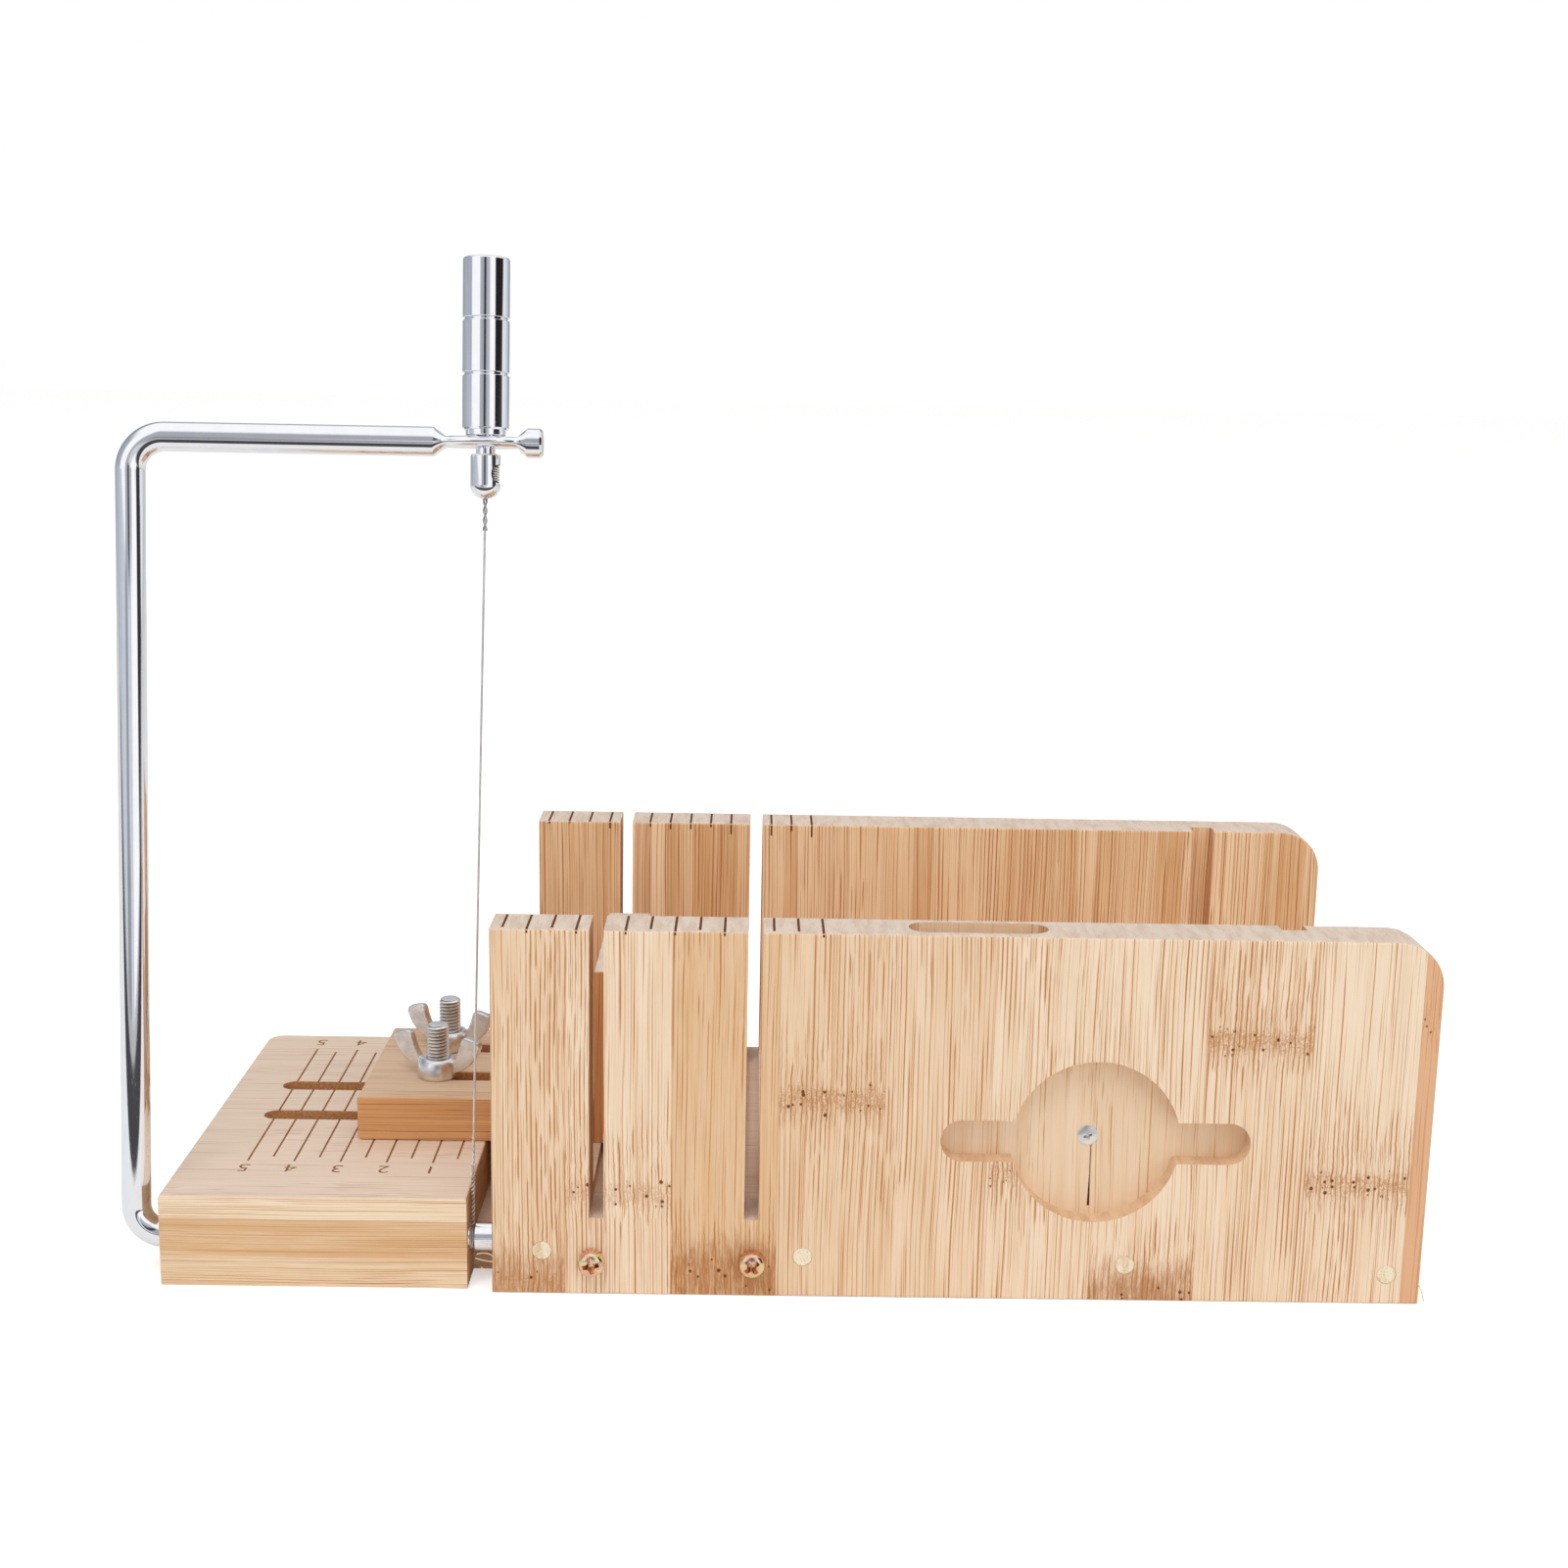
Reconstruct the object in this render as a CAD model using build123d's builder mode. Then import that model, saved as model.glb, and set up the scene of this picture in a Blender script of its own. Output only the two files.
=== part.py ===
from build123d import *
import math
import os

os.makedirs("parts", exist_ok=True)

# Frame of the cutter
# X runs along the box from the cutting slit towards its open end, Y from the near wall to the
# far wall, and Z up from the table. X = 0 is the zero line of the scale on the walls.

# How far a cut runs past the face it opens through
cut_overrun = 3.0

# Walls
wall_thickness = 12.0
channel_width = 87.0
wall_height = 79.0
wall_corner_radius = 10.0
edge_ease = 0.7
outer_face = channel_width / 2 + wall_thickness
inner_face = channel_width / 2
wall_middle = inner_face + wall_thickness / 2

# Base and measuring board
base_thickness = 20.0
slit_left = -3.0
slit_right = 2.4
slit_floor = 8.0
box_end = 196.9
board_left = -67.0
board_front = -53.5
board_back = 51.0
board_corner_radius = 4.0

# Guide slots for a straight knife
knife_places = (24.1, 56.3)
knife_slot_width = 3.0
knife_slot_floor = 17.0

# Grooves for an end board
end_groove_place = 167.4
end_groove_width = 5.4
end_groove_depth = 4.0

# Recess in the near wall's outer face
recess_place = 127.2
recess_height = 35.1
recess_diameter = 35.0
recess_depth = 4.5
finger_slot_length = 64.3
finger_slot_width = 9.0

# Pocket in the near wall's top
pocket_place = 101.9
pocket_length = 28.7
pocket_width = 7.7
pocket_depth = 10.0

# Dowels and screws that hold the walls to the base, as places along X and up Z
dowel_places = ((12.8, 9.7), (67.1, 9.0), (134.6, 8.1), (189.7, 6.7))
dowel_diameter = 4.0
fastener_reach = 13.0
screw_places = ((23.2, 7.6), (56.6, 7.8))
screw_diameter = 3.0
screw_head_diameter = 5.5
screw_head_height = 3.2
screw_head_dome = 0.6
wood_fit = 0.05

# Small screw on the recess floor
recess_screw_place = 126.2
recess_screw_height = 35.0
recess_screw_head = 3.8
recess_screw_dome = 0.4
recess_screw_diameter = 1.6
recess_screw_length = 6.0

# Arm, a bent rod whose lower end is the axle
rod_diameter = 6.0
axle_height = 10.0
axle_run = 0.05
arm_lean = 6.8
arm_reach = 165.7
leg_place = -72.8
axle_end = 9.6
axle_end_room = 0.5
lower_bend = 6.0
upper_bend = 7.0
neck_place = -2.3
neck_diameter = 4.0
neck_width = 1.2

# Eye pressed into the rod's upper end, with reaches to its left and right from its middle
eye_place = -0.5
eye_thickness = 2.1
eye_width = 10.8
eye_left_reach = 9.1
eye_right_reach = 7.1
eye_end_width = 3.4
eye_edge_ease = 0.6
taper_reach = 10.6
waist_reach = 7.9
tip_waist_reach = 5.9
tip_flare_reach = 8.6
tip_reach = 11.6
waist_diameter = 2.2
stud_room = 0.15
rod_end_ease = 0.4

# Tension knob
knob_diameter = 9.5
knob_length = 35.7
knob_seat_gap = 0.25
knob_foot_diameter = 8.1
knob_foot_height = 1.2
knob_groove_places = (12.4, 23.4)
knob_groove_width = 0.8
knob_groove_depth = 0.6
knob_top_ease = 0.5
knob_thread_depth = 22.0
thread_fit = 0.08

# Hook that holds the top of the wire, hung below the eye
stud_diameter = 3.8
stud_length = 20.0
hook_gap = 1.35
hook_diameter = 6.1
hook_height = 9.1
hook_notch_rise = 3.1
hook_notch_height = 4.0
hook_notch_depth = 1.35
hook_pocket_width = 2.4
hook_wire_hole = 1.2

# Cutting wire and the twisted leader on the axle
wire_diameter = 0.5
wire_ball_diameter = 1.8
wire_ball_room = 0.8
leader_diameter = 0.9
leader_top = 13.4
leader_loop_radius = 0.8
wire_loop_radius = 0.55
loop_room = 0.05

# Stop that sets the thickness of a slice
stop_left = -31.6
stop_face = 21.0
stop_front = -21.0
stop_back = 28.0
bar_room = 0.1
bar_thickness = 9.9
plate_thickness = 10.0
plate_top = 60.0
bar_slot_travel = 26.0

# Clamp bolts
bolt_place = -15.7
bolt_rows = {"front": -6.0, "rear": 13.5}
bolt_diameter = 5.0
bolt_slot_width = 5.6
bolt_top = 43.9
bolt_end_ease = 0.6
board_slot_left = -52.9
board_slot_right = -10.8
head_flats = 8.0
head_height = 3.5
head_slot_width = 8.4
head_slot_end = 2.0
head_slot_depth = 5.0

# Wing nuts
nut_foot_diameter = 8.9
nut_hub_diameter = 9.4
nut_hub_swell = 1.5
nut_top_diameter = 7.1
nut_hub_height = 4.6
wing_span = 22.0
wing_height = 10.4
wing_thickness = 1.9
wing_top_width = 4.6
wing_yaw = -20.0
wing_root = 3.1
wing_foot = 1.2
wing_tip_radius = 1.2

# How strongly each curve of a wing leaves its two ends
wing_back_shares = (1.2, 0.8)
wing_crotch_shares = (0.8, 0.6)

# Planes that more than one piece stands on
axle_line = -wall_middle
axle_plane = Plane(origin=(0, axle_line, axle_height), x_dir=(0, 1, 0), z_dir=(1, 0, 0))
lean = math.radians(arm_lean)
arm_plane = Plane(
    origin=(0, axle_line, axle_height),
    x_dir=(1, 0, 0),
    z_dir=(0, -math.cos(lean), math.sin(lean)),
)


def on_arm(place, along):
    """Point on the arm's plane, from its place along X and its distance from the axle."""
    return arm_plane.from_local_coords(Vector(place, along, 0))


def across_arm(along, place=eye_place):
    """Plane across the arm's plane at a distance from the axle, by default on the knob's axis."""
    return Plane(origin=on_arm(place, along), x_dir=(1, 0, 0), z_dir=arm_plane.y_dir)


def beside_arm(along, place=eye_place):
    """Plane on the arm's own plane, its origin at a distance from the axle."""
    return Plane(origin=on_arm(place, along), x_dir=(1, 0, 0), z_dir=arm_plane.z_dir)


def outside_of(side):
    """Plane on a wall's outer face that looks into the wall, for what goes in from outside."""
    return Plane(origin=(0, side * outer_face, 0), x_dir=(1, 0, 0), z_dir=(0, -side, 0))


def wall_blank(side):
    """Plain wall with one rounded top corner and eased edges; side is -1 near and +1 far."""
    length = box_end - slit_right
    first_face = side * wall_middle - wall_thickness / 2
    with BuildPart() as blank:
        with BuildSketch(Plane.XZ.offset(-first_face)) as outline:
            with Locations((slit_right + length / 2, wall_height / 2)):
                Rectangle(length, wall_height)
            top_corners = outline.vertices().sort_by(Axis.Y)[-2:]
            fillet(top_corners.sort_by(Axis.X)[-1], wall_corner_radius)
        extrude(amount=-wall_thickness)
        broad_faces = blank.faces().sort_by(Axis.Y)
        fillet(broad_faces[0].edges() + broad_faces[-1].edges(), edge_ease)
    return blank.part


def knife_cuts(bottom):
    """Upright cuts across the whole box, open at the top, from a height upwards."""
    with BuildPart(mode=Mode.PRIVATE) as cuts:
        with BuildSketch(Plane.XY.offset(bottom)):
            for place in knife_places:
                with Locations((place, 0)):
                    Rectangle(knife_slot_width, (outer_face + cut_overrun) * 2)
        extrude(amount=wall_height - bottom + cut_overrun)
    return cuts.part


def holes_for(places, diameter, side):
    """Fastener holes through a wall and into the base's side."""
    with BuildPart(mode=Mode.PRIVATE) as holes:
        with BuildSketch(outside_of(side)):
            for along, height in places:
                with Locations((along, side * height)):
                    Circle(diameter / 2 + wood_fit)
        extrude(amount=wall_thickness + fastener_reach + wood_fit)
    return holes.part


def end_groove(side):
    """Upright groove for an end board in a wall's inner face."""
    with BuildPart(mode=Mode.PRIVATE) as groove:
        with BuildSketch(Plane.XY.offset(base_thickness)):
            with Locations((end_groove_place, side * inner_face)):
                Rectangle(end_groove_width, end_groove_depth * 2)
        extrude(amount=wall_height - base_thickness + cut_overrun)
    return groove.part


# Base with its measuring board
with BuildPart() as base_board:
    board_middle = (board_left + slit_left) / 2
    board_depth_middle = (board_front + board_back) / 2
    with BuildSketch():
        with Locations((board_middle, board_depth_middle)):
            Rectangle(slit_left - board_left, board_back - board_front)
    extrude(amount=base_thickness)
    uprights = base_board.edges().filter_by(Axis.Z)
    fillet(uprights.sort_by(Axis.X)[:2].sort_by(Axis.Y)[-1], board_corner_radius)
    fillet(base_board.faces().sort_by(Axis.Z)[-1].edges(), edge_ease)
    with BuildSketch():
        with Locations(((slit_left + box_end) / 2, 0)):
            Rectangle(box_end - slit_left, channel_width)
    extrude(amount=base_thickness)
    with BuildSketch(Plane.XY.offset(slit_floor)):
        with Locations(((slit_left + slit_right) / 2, 0)):
            Rectangle(slit_right - slit_left, (outer_face + cut_overrun) * 2)
    extrude(amount=base_thickness - slit_floor + cut_overrun, mode=Mode.SUBTRACT)
    add(knife_cuts(knife_slot_floor), mode=Mode.SUBTRACT)
    for side in (-1, 1):
        add(holes_for(dowel_places, dowel_diameter, side), mode=Mode.SUBTRACT)
        add(holes_for(screw_places, screw_diameter, side), mode=Mode.SUBTRACT)
    slot_middle = (board_slot_left + board_slot_right) / 2
    slot_travel = board_slot_right - board_slot_left
    with BuildSketch():
        for row in bolt_rows.values():
            with Locations((slot_middle, row)):
                SlotCenterToCenter(slot_travel, bolt_slot_width)
    extrude(amount=base_thickness, mode=Mode.SUBTRACT)
    with BuildSketch():
        for row in bolt_rows.values():
            with Locations((slot_middle, row)):
                Rectangle(slot_travel + head_flats + head_slot_end, head_slot_width)
    extrude(amount=head_slot_depth, mode=Mode.SUBTRACT)
    with BuildSketch(axle_plane.offset(board_left)):
        Circle(rod_diameter / 2 + axle_run)
    extrude(amount=slit_left - board_left, mode=Mode.SUBTRACT)
base_board.part.label = "base_board"
export_step(base_board.part, "parts/base_board.step")

# Near wall, with the recess, the pocket and the axle's end bore
with BuildPart() as near_wall:
    add(wall_blank(-1))
    add(knife_cuts(knife_slot_floor), mode=Mode.SUBTRACT)
    add(holes_for(dowel_places, dowel_diameter, -1), mode=Mode.SUBTRACT)
    add(holes_for(screw_places, screw_diameter, -1), mode=Mode.SUBTRACT)
    add(end_groove(-1), mode=Mode.SUBTRACT)
    with BuildSketch(Plane.XZ.offset(outer_face)):
        with Locations((recess_place, recess_height)):
            Circle(recess_diameter / 2)
            SlotOverall(finger_slot_length, finger_slot_width)
    extrude(amount=-recess_depth, mode=Mode.SUBTRACT)
    recess_floor = Plane.XZ.offset(outer_face - recess_depth)
    with BuildSketch(recess_floor):
        with Locations((recess_screw_place, recess_screw_height)):
            Circle(recess_screw_diameter / 2 + wood_fit)
    extrude(amount=-recess_screw_length, mode=Mode.SUBTRACT)
    with BuildSketch(Plane.XY.offset(wall_height)):
        with Locations((pocket_place, -wall_middle)):
            SlotOverall(pocket_length, pocket_width)
    extrude(amount=-pocket_depth, mode=Mode.SUBTRACT)
    with BuildSketch(axle_plane.offset(slit_right)):
        Circle(rod_diameter / 2 + axle_run)
    extrude(amount=axle_end - slit_right + axle_end_room, mode=Mode.SUBTRACT)
near_wall.part.label = "near_wall"
export_step(near_wall.part, "parts/near_wall.step")

# Far wall
with BuildPart() as far_wall:
    add(wall_blank(1))
    add(knife_cuts(knife_slot_floor), mode=Mode.SUBTRACT)
    add(holes_for(dowel_places, dowel_diameter, 1), mode=Mode.SUBTRACT)
    add(holes_for(screw_places, screw_diameter, 1), mode=Mode.SUBTRACT)
    add(end_groove(1), mode=Mode.SUBTRACT)
far_wall.part.label = "far_wall"
export_step(far_wall.part, "parts/far_wall.step")

# Dowels, flush with the walls
for name, side in (("near_dowels", -1), ("far_dowels", 1)):
    with BuildPart() as dowels:
        with BuildSketch(outside_of(side)):
            for along, height in dowel_places:
                with Locations((along, side * height)):
                    Circle(dowel_diameter / 2)
        extrude(amount=wall_thickness + fastener_reach)
    dowels.part.label = name
    export_step(dowels.part, f"parts/{name}.step")

# Wall screws, their heads proud of the wall
head_radius = screw_head_diameter / 2
for name, side in (("near_screws", -1), ("far_screws", 1)):
    with BuildPart() as screws:
        for along, height in screw_places:
            seat = (along, side * outer_face, height)
            with BuildSketch(Plane(origin=seat)):
                with BuildLine():
                    shank_end = -side * (wall_thickness + fastener_reach)
                    rim = side * (screw_head_height - screw_head_dome)
                    crown = side * screw_head_height
                    Polyline(
                        (0, shank_end),
                        (screw_diameter / 2, shank_end + side * screw_diameter / 2),
                        (screw_diameter / 2, 0),
                        (head_radius, 0),
                        (head_radius, rim),
                    )
                    Spline(
                        (head_radius, rim),
                        (0, crown),
                        tangents=((0, side), (-1, 0)),
                    )
                    Line((0, crown), (0, shank_end))
                make_face()
            revolve(axis=Axis(seat, (0, 1, 0)))
    screws.part.label = name
    export_step(screws.part, f"parts/{name}.step")

# Small screw in the recess
with BuildPart() as recess_screw:
    screw_seat = (recess_screw_place, -outer_face + recess_depth, recess_screw_height)
    with BuildSketch(Plane(origin=screw_seat)):
        with BuildLine():
            Polyline(
                (0, -recess_screw_dome),
                (0, recess_screw_length),
                (recess_screw_diameter / 2, recess_screw_length - recess_screw_diameter),
                (recess_screw_diameter / 2, 0),
                (recess_screw_head / 2, 0),
            )
            Spline(
                (recess_screw_head / 2, 0),
                (0, -recess_screw_dome),
                tangents=((-1, -1), (-1, 0)),
            )
        make_face()
    revolve(axis=Axis(screw_seat, (0, 1, 0)))
recess_screw.part.label = "recess_screw"
export_step(recess_screw.part, "parts/recess_screw.step")

# Stop bar, slotted for the two clamp bolts
with BuildPart() as stop_bar:
    bar_plane = Plane.XY.offset(base_thickness + bar_room)
    stop_middle = (stop_front + stop_back) / 2
    with BuildSketch(bar_plane):
        with Locations(((stop_left + stop_face) / 2, stop_middle)):
            Rectangle(stop_face - stop_left, stop_back - stop_front)
    extrude(amount=bar_thickness)
    free_end = stop_bar.faces().sort_by(Axis.X)[0]
    fillet(free_end.edges(), edge_ease)
    with BuildSketch(bar_plane):
        for row in bolt_rows.values():
            with Locations((bolt_place + bar_slot_travel / 2, row)):
                SlotCenterToCenter(bar_slot_travel, bolt_slot_width)
    extrude(amount=bar_thickness, mode=Mode.SUBTRACT)
stop_bar.part.label = "stop_bar"
export_step(stop_bar.part, "parts/stop_bar.step")

# Stop plate, upright at the bar's end
with BuildPart() as stop_plate:
    with BuildSketch(bar_plane):
        with Locations((stop_face + plate_thickness / 2, stop_middle)):
            Rectangle(plate_thickness, stop_back - stop_front)
    extrude(amount=plate_top - bar_plane.origin.Z)
    fillet(stop_plate.faces().sort_by(Axis.Z)[-1].edges(), edge_ease)
stop_plate.part.label = "stop_plate"
export_step(stop_plate.part, "parts/stop_plate.step")

# Clamp bolts and wing nuts
nut_seat = base_thickness + bar_room + bar_thickness
for row_name, row in bolt_rows.items():
    with BuildPart() as bolt:
        head_plane = Plane(origin=(bolt_place, row, head_slot_depth - head_height))
        with BuildSketch(head_plane):
            RegularPolygon(head_flats / 2, 6, major_radius=False)
        extrude(amount=head_height)
        with BuildSketch(head_plane):
            Circle(bolt_diameter / 2)
        extrude(amount=bolt_top - head_plane.origin.Z)
        chamfer(bolt.edges().sort_by(Axis.Z)[-1], bolt_end_ease)
    bolt.part.label = f"{row_name}_bolt"
    export_step(bolt.part, f"parts/{row_name}_bolt.step")

    seat = (bolt_place, row, nut_seat)
    upright = Plane(origin=seat, x_dir=(1, 0, 0), z_dir=(0, -1, 0))
    with BuildPart() as wing_nut:
        with BuildSketch(upright):
            with BuildLine():
                foot = (nut_foot_diameter / 2, 0)
                swell = (nut_hub_diameter / 2, nut_hub_swell)
                hub_top = (nut_top_diameter / 2, nut_hub_height)
                Line((0, 0), foot)
                Spline(foot, swell, hub_top, tangents=((1, 1), (-1, 1)))
                Polyline(hub_top, (0, nut_hub_height), (0, 0))
            make_face()
        revolve(axis=Axis(seat, (0, 0, 1)))
        for turn in (wing_yaw, wing_yaw + 180):
            with BuildSketch(upright.rotated((0, 0, turn))) as wing:
                with BuildLine():
                    root = (wing_root, wing_foot)
                    outer_tip = (wing_span / 2, wing_height - wing_tip_radius)
                    inner_tip = (wing_span / 2 - wing_top_width, wing_height)
                    crotch = (wing_root, nut_hub_height - wing_foot)
                    Spline(
                        root,
                        outer_tip,
                        tangents=((1, 0), (0, 1)),
                        tangent_scalars=wing_back_shares,
                    )
                    Line(outer_tip, inner_tip)
                    Spline(
                        inner_tip,
                        crotch,
                        tangents=((0, -1), (-1, 0)),
                        tangent_scalars=wing_crotch_shares,
                    )
                    Line(crotch, root)
                make_face()
                tips = wing.vertices().sort_by(Axis.Y)[-2:]
                fillet(tips, wing_tip_radius)
            extrude(amount=wing_thickness / 2, both=True)
        with BuildSketch(Plane(origin=seat)):
            Circle(bolt_diameter / 2 + thread_fit)
        extrude(amount=wing_height + cut_overrun, mode=Mode.SUBTRACT)
    wing_nut.part.label = f"{row_name}_wing_nut"
    export_step(wing_nut.part, f"parts/{row_name}_wing_nut.step")

# Arm with the axle, the leg, the upper rod and the pressed eye
with BuildPart() as cutting_arm:
    with BuildLine(arm_plane) as arm_path:
        FilletPolyline(
            (axle_end, 0),
            (leg_place, 0),
            (leg_place, arm_reach),
            (eye_place - taper_reach, arm_reach),
            radius=(lower_bend, upper_bend),
        )
    with BuildSketch(Plane(origin=arm_path.line @ 0, z_dir=arm_path.line % 0)):
        Circle(rod_diameter / 2)
    sweep()
    with BuildSketch(axle_plane.offset(neck_place - neck_width / 2)):
        Circle(rod_diameter / 2)
        Circle(neck_diameter / 2, mode=Mode.SUBTRACT)
    extrude(amount=neck_width, mode=Mode.SUBTRACT)
    with BuildSketch(beside_arm(arm_reach)):
        rod_radius = rod_diameter / 2
        waist_radius = waist_diameter / 2
        with BuildLine():
            Polyline(
                (-taper_reach, 0),
                (-taper_reach, rod_radius),
                (-waist_reach, waist_radius),
                (tip_waist_reach, waist_radius),
                (tip_flare_reach, rod_radius),
                (tip_reach - rod_end_ease, rod_radius),
                (tip_reach, rod_radius - rod_end_ease),
                (tip_reach, 0),
                close=True,
            )
        make_face()
    revolve(axis=Axis(on_arm(eye_place, arm_reach), (1, 0, 0)))
    with BuildSketch(across_arm(arm_reach - eye_thickness / 2)) as eye:
        with BuildLine():
            left_end = (-eye_left_reach, eye_end_width / 2)
            right_end = (eye_right_reach, eye_end_width / 2)
            crest = (0, eye_width / 2)
            Spline(left_end, crest, right_end, tangents=((1, 1), (1, -1)))
            mirror(about=Plane.XZ)
            Line(left_end, (left_end[0], -left_end[1]))
            Line(right_end, (right_end[0], -right_end[1]))
        make_face()
    eye_plate = extrude(amount=eye_thickness, mode=Mode.PRIVATE)
    long_edges = eye_plate.edges().filter_by(GeomType.BSPLINE)
    add(eye_plate.fillet(eye_edge_ease, long_edges))
    with BuildSketch(across_arm(arm_reach)):
        Circle(stud_diameter / 2 + stud_room)
    extrude(amount=eye_thickness / 2 + cut_overrun, both=True, mode=Mode.SUBTRACT)
cutting_arm.part.label = "cutting_arm"
export_step(cutting_arm.part, "parts/cutting_arm.step")

# Tension knob, a grooved barrel with a blind threaded bore
knob_foot = arm_reach + eye_thickness / 2 + knob_seat_gap
with BuildPart() as tension_knob:
    with BuildSketch(beside_arm(knob_foot)):
        knob_radius = knob_diameter / 2
        with BuildLine():
            Polyline(
                (0, 0),
                (knob_foot_diameter / 2, 0),
                (knob_foot_diameter / 2, knob_foot_height),
                (knob_radius, knob_foot_height + knob_top_ease),
                (knob_radius, knob_length - knob_top_ease),
                (knob_radius - knob_top_ease, knob_length),
                (0, knob_length),
                close=True,
            )
        make_face()
        for place in knob_groove_places:
            with Locations((knob_radius, place)):
                Rectangle(knob_groove_depth * 2, knob_groove_width, mode=Mode.SUBTRACT)
    revolve(axis=Axis(on_arm(eye_place, knob_foot), arm_plane.y_dir))
    with BuildSketch(across_arm(knob_foot)):
        Circle(stud_diameter / 2 + thread_fit)
    extrude(amount=knob_thread_depth, mode=Mode.SUBTRACT)
tension_knob.part.label = "tension_knob"
export_step(tension_knob.part, "parts/tension_knob.step")

# Hook with its stud, domed below and notched at one side
hook_bottom = arm_reach - eye_thickness / 2 - hook_gap - hook_height
hook_notch_floor = hook_bottom + hook_notch_rise
with BuildPart() as wire_hook:
    hook_radius = hook_diameter / 2
    with BuildSketch(beside_arm(hook_bottom)):
        with BuildLine():
            JernArc((0, 0), (1, 0), hook_radius, 90)
            Polyline(
                (hook_radius, hook_radius),
                (hook_radius, hook_height),
                (stud_diameter / 2, hook_height),
                (stud_diameter / 2, hook_height + stud_length),
                (0, hook_height + stud_length),
                (0, 0),
            )
        make_face()
    revolve(axis=Axis(on_arm(eye_place, hook_bottom), arm_plane.y_dir))
    with BuildSketch(across_arm(hook_notch_floor)):
        with Locations((hook_radius, 0)):
            Rectangle(hook_notch_depth * 2, hook_diameter)
        with Locations((hook_radius / 2, 0)):
            Rectangle(hook_radius, hook_pocket_width)
        Circle(hook_pocket_width / 2)
    extrude(amount=hook_notch_height, mode=Mode.SUBTRACT)
    with BuildSketch(across_arm(hook_bottom - cut_overrun)):
        Circle(hook_wire_hole / 2)
    extrude(amount=cut_overrun + hook_notch_rise, mode=Mode.SUBTRACT)
wire_hook.part.label = "wire_hook"
export_step(wire_hook.part, "parts/wire_hook.step")

# Twisted leader: a ring round the axle's neck, a twisted stem and a small eyelet
wire_radius = wire_diameter / 2
with BuildPart() as wire_leader:
    ring_radius = neck_diameter / 2 + wire_radius + loop_room
    with BuildSketch(beside_arm(ring_radius, neck_place)):
        Circle(wire_radius)
    revolve(axis=Axis(on_arm(neck_place, 0), (1, 0, 0)))
    with BuildSketch(across_arm(ring_radius + wire_radius / 2, neck_place)):
        Circle(leader_diameter / 2)
    extrude(amount=leader_top - ring_radius - wire_radius)
    eyelet_height = leader_top + leader_loop_radius
    with BuildSketch(beside_arm(eyelet_height + leader_loop_radius, neck_place)):
        Circle(wire_radius)
    revolve(axis=Axis(on_arm(neck_place, eyelet_height), (1, 0, 0)))
wire_leader.part.label = "wire_leader"
export_step(wire_leader.part, "parts/wire_leader.step")

# Cutting wire: a loop linked with the eyelet, the straight run and a ball held in the hook
with BuildPart() as cutting_wire:
    loop_overlap = wire_diameter + loop_room
    loop_height = eyelet_height + leader_loop_radius + wire_loop_radius - loop_overlap
    with BuildSketch(across_arm(loop_height, neck_place + wire_loop_radius)):
        Circle(wire_radius)
    revolve(axis=Axis(on_arm(neck_place, loop_height), arm_plane.z_dir))
    ball_height = hook_notch_floor + wire_ball_diameter / 2 + wire_ball_room
    with BuildLine(arm_plane) as wire_path:
        Line((neck_place, loop_height + wire_loop_radius), (eye_place, ball_height))
    with BuildSketch(Plane(origin=wire_path.line @ 0, z_dir=wire_path.line % 0)):
        Circle(wire_radius)
    sweep()
    with Locations(across_arm(ball_height)):
        Sphere(wire_ball_diameter / 2)
cutting_wire.part.label = "cutting_wire"
export_step(cutting_wire.part, "parts/cutting_wire.step")
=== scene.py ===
"""Looks of a bamboo soap cutter: its box, wire bow, sliding stop and studio."""

import logging
import math
from contextlib import contextmanager
from dataclasses import dataclass, field
from enum import Enum
from typing import Callable, Iterator, Sequence, Union
import bmesh
import bpy
from mathutils import Matrix, Vector


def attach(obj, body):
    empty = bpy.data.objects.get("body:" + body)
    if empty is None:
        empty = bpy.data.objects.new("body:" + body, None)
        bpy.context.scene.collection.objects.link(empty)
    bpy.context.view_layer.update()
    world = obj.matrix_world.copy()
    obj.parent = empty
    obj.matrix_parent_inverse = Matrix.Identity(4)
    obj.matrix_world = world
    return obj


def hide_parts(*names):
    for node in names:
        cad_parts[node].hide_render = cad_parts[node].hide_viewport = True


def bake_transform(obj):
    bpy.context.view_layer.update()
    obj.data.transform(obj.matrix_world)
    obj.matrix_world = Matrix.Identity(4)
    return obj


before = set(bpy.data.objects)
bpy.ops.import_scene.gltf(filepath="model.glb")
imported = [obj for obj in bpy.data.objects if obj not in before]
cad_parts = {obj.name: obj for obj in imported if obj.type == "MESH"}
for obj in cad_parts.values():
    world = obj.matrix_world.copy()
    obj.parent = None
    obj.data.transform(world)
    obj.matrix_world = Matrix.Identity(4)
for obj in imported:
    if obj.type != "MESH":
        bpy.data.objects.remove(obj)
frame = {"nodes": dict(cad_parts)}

MM = 0.001
TURN = 2 * math.pi
# Millimetres that a cutter reaches past what it cuts
OVERRUN = 1.0
# A face looks up, down or along an axis if its normal's part there is larger than this
LEVEL = 0.6
SQUARE = 0.7
# It stands if the part along Z is smaller than this
STANDING = 0.5
# Millimetres between two places that may not be quite the same one
HAIR = 0.01
LOG = logging.getLogger("soap_cutter")

Piece = bpy.types.Object
Socket = bpy.types.NodeSocket
Colour = tuple[float, float, float]
Point = tuple[float, float, float]
Corner = tuple[float, float]
Feed = Union[Socket, float, tuple]
Given = dict[str, Socket]


# Workbench


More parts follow.
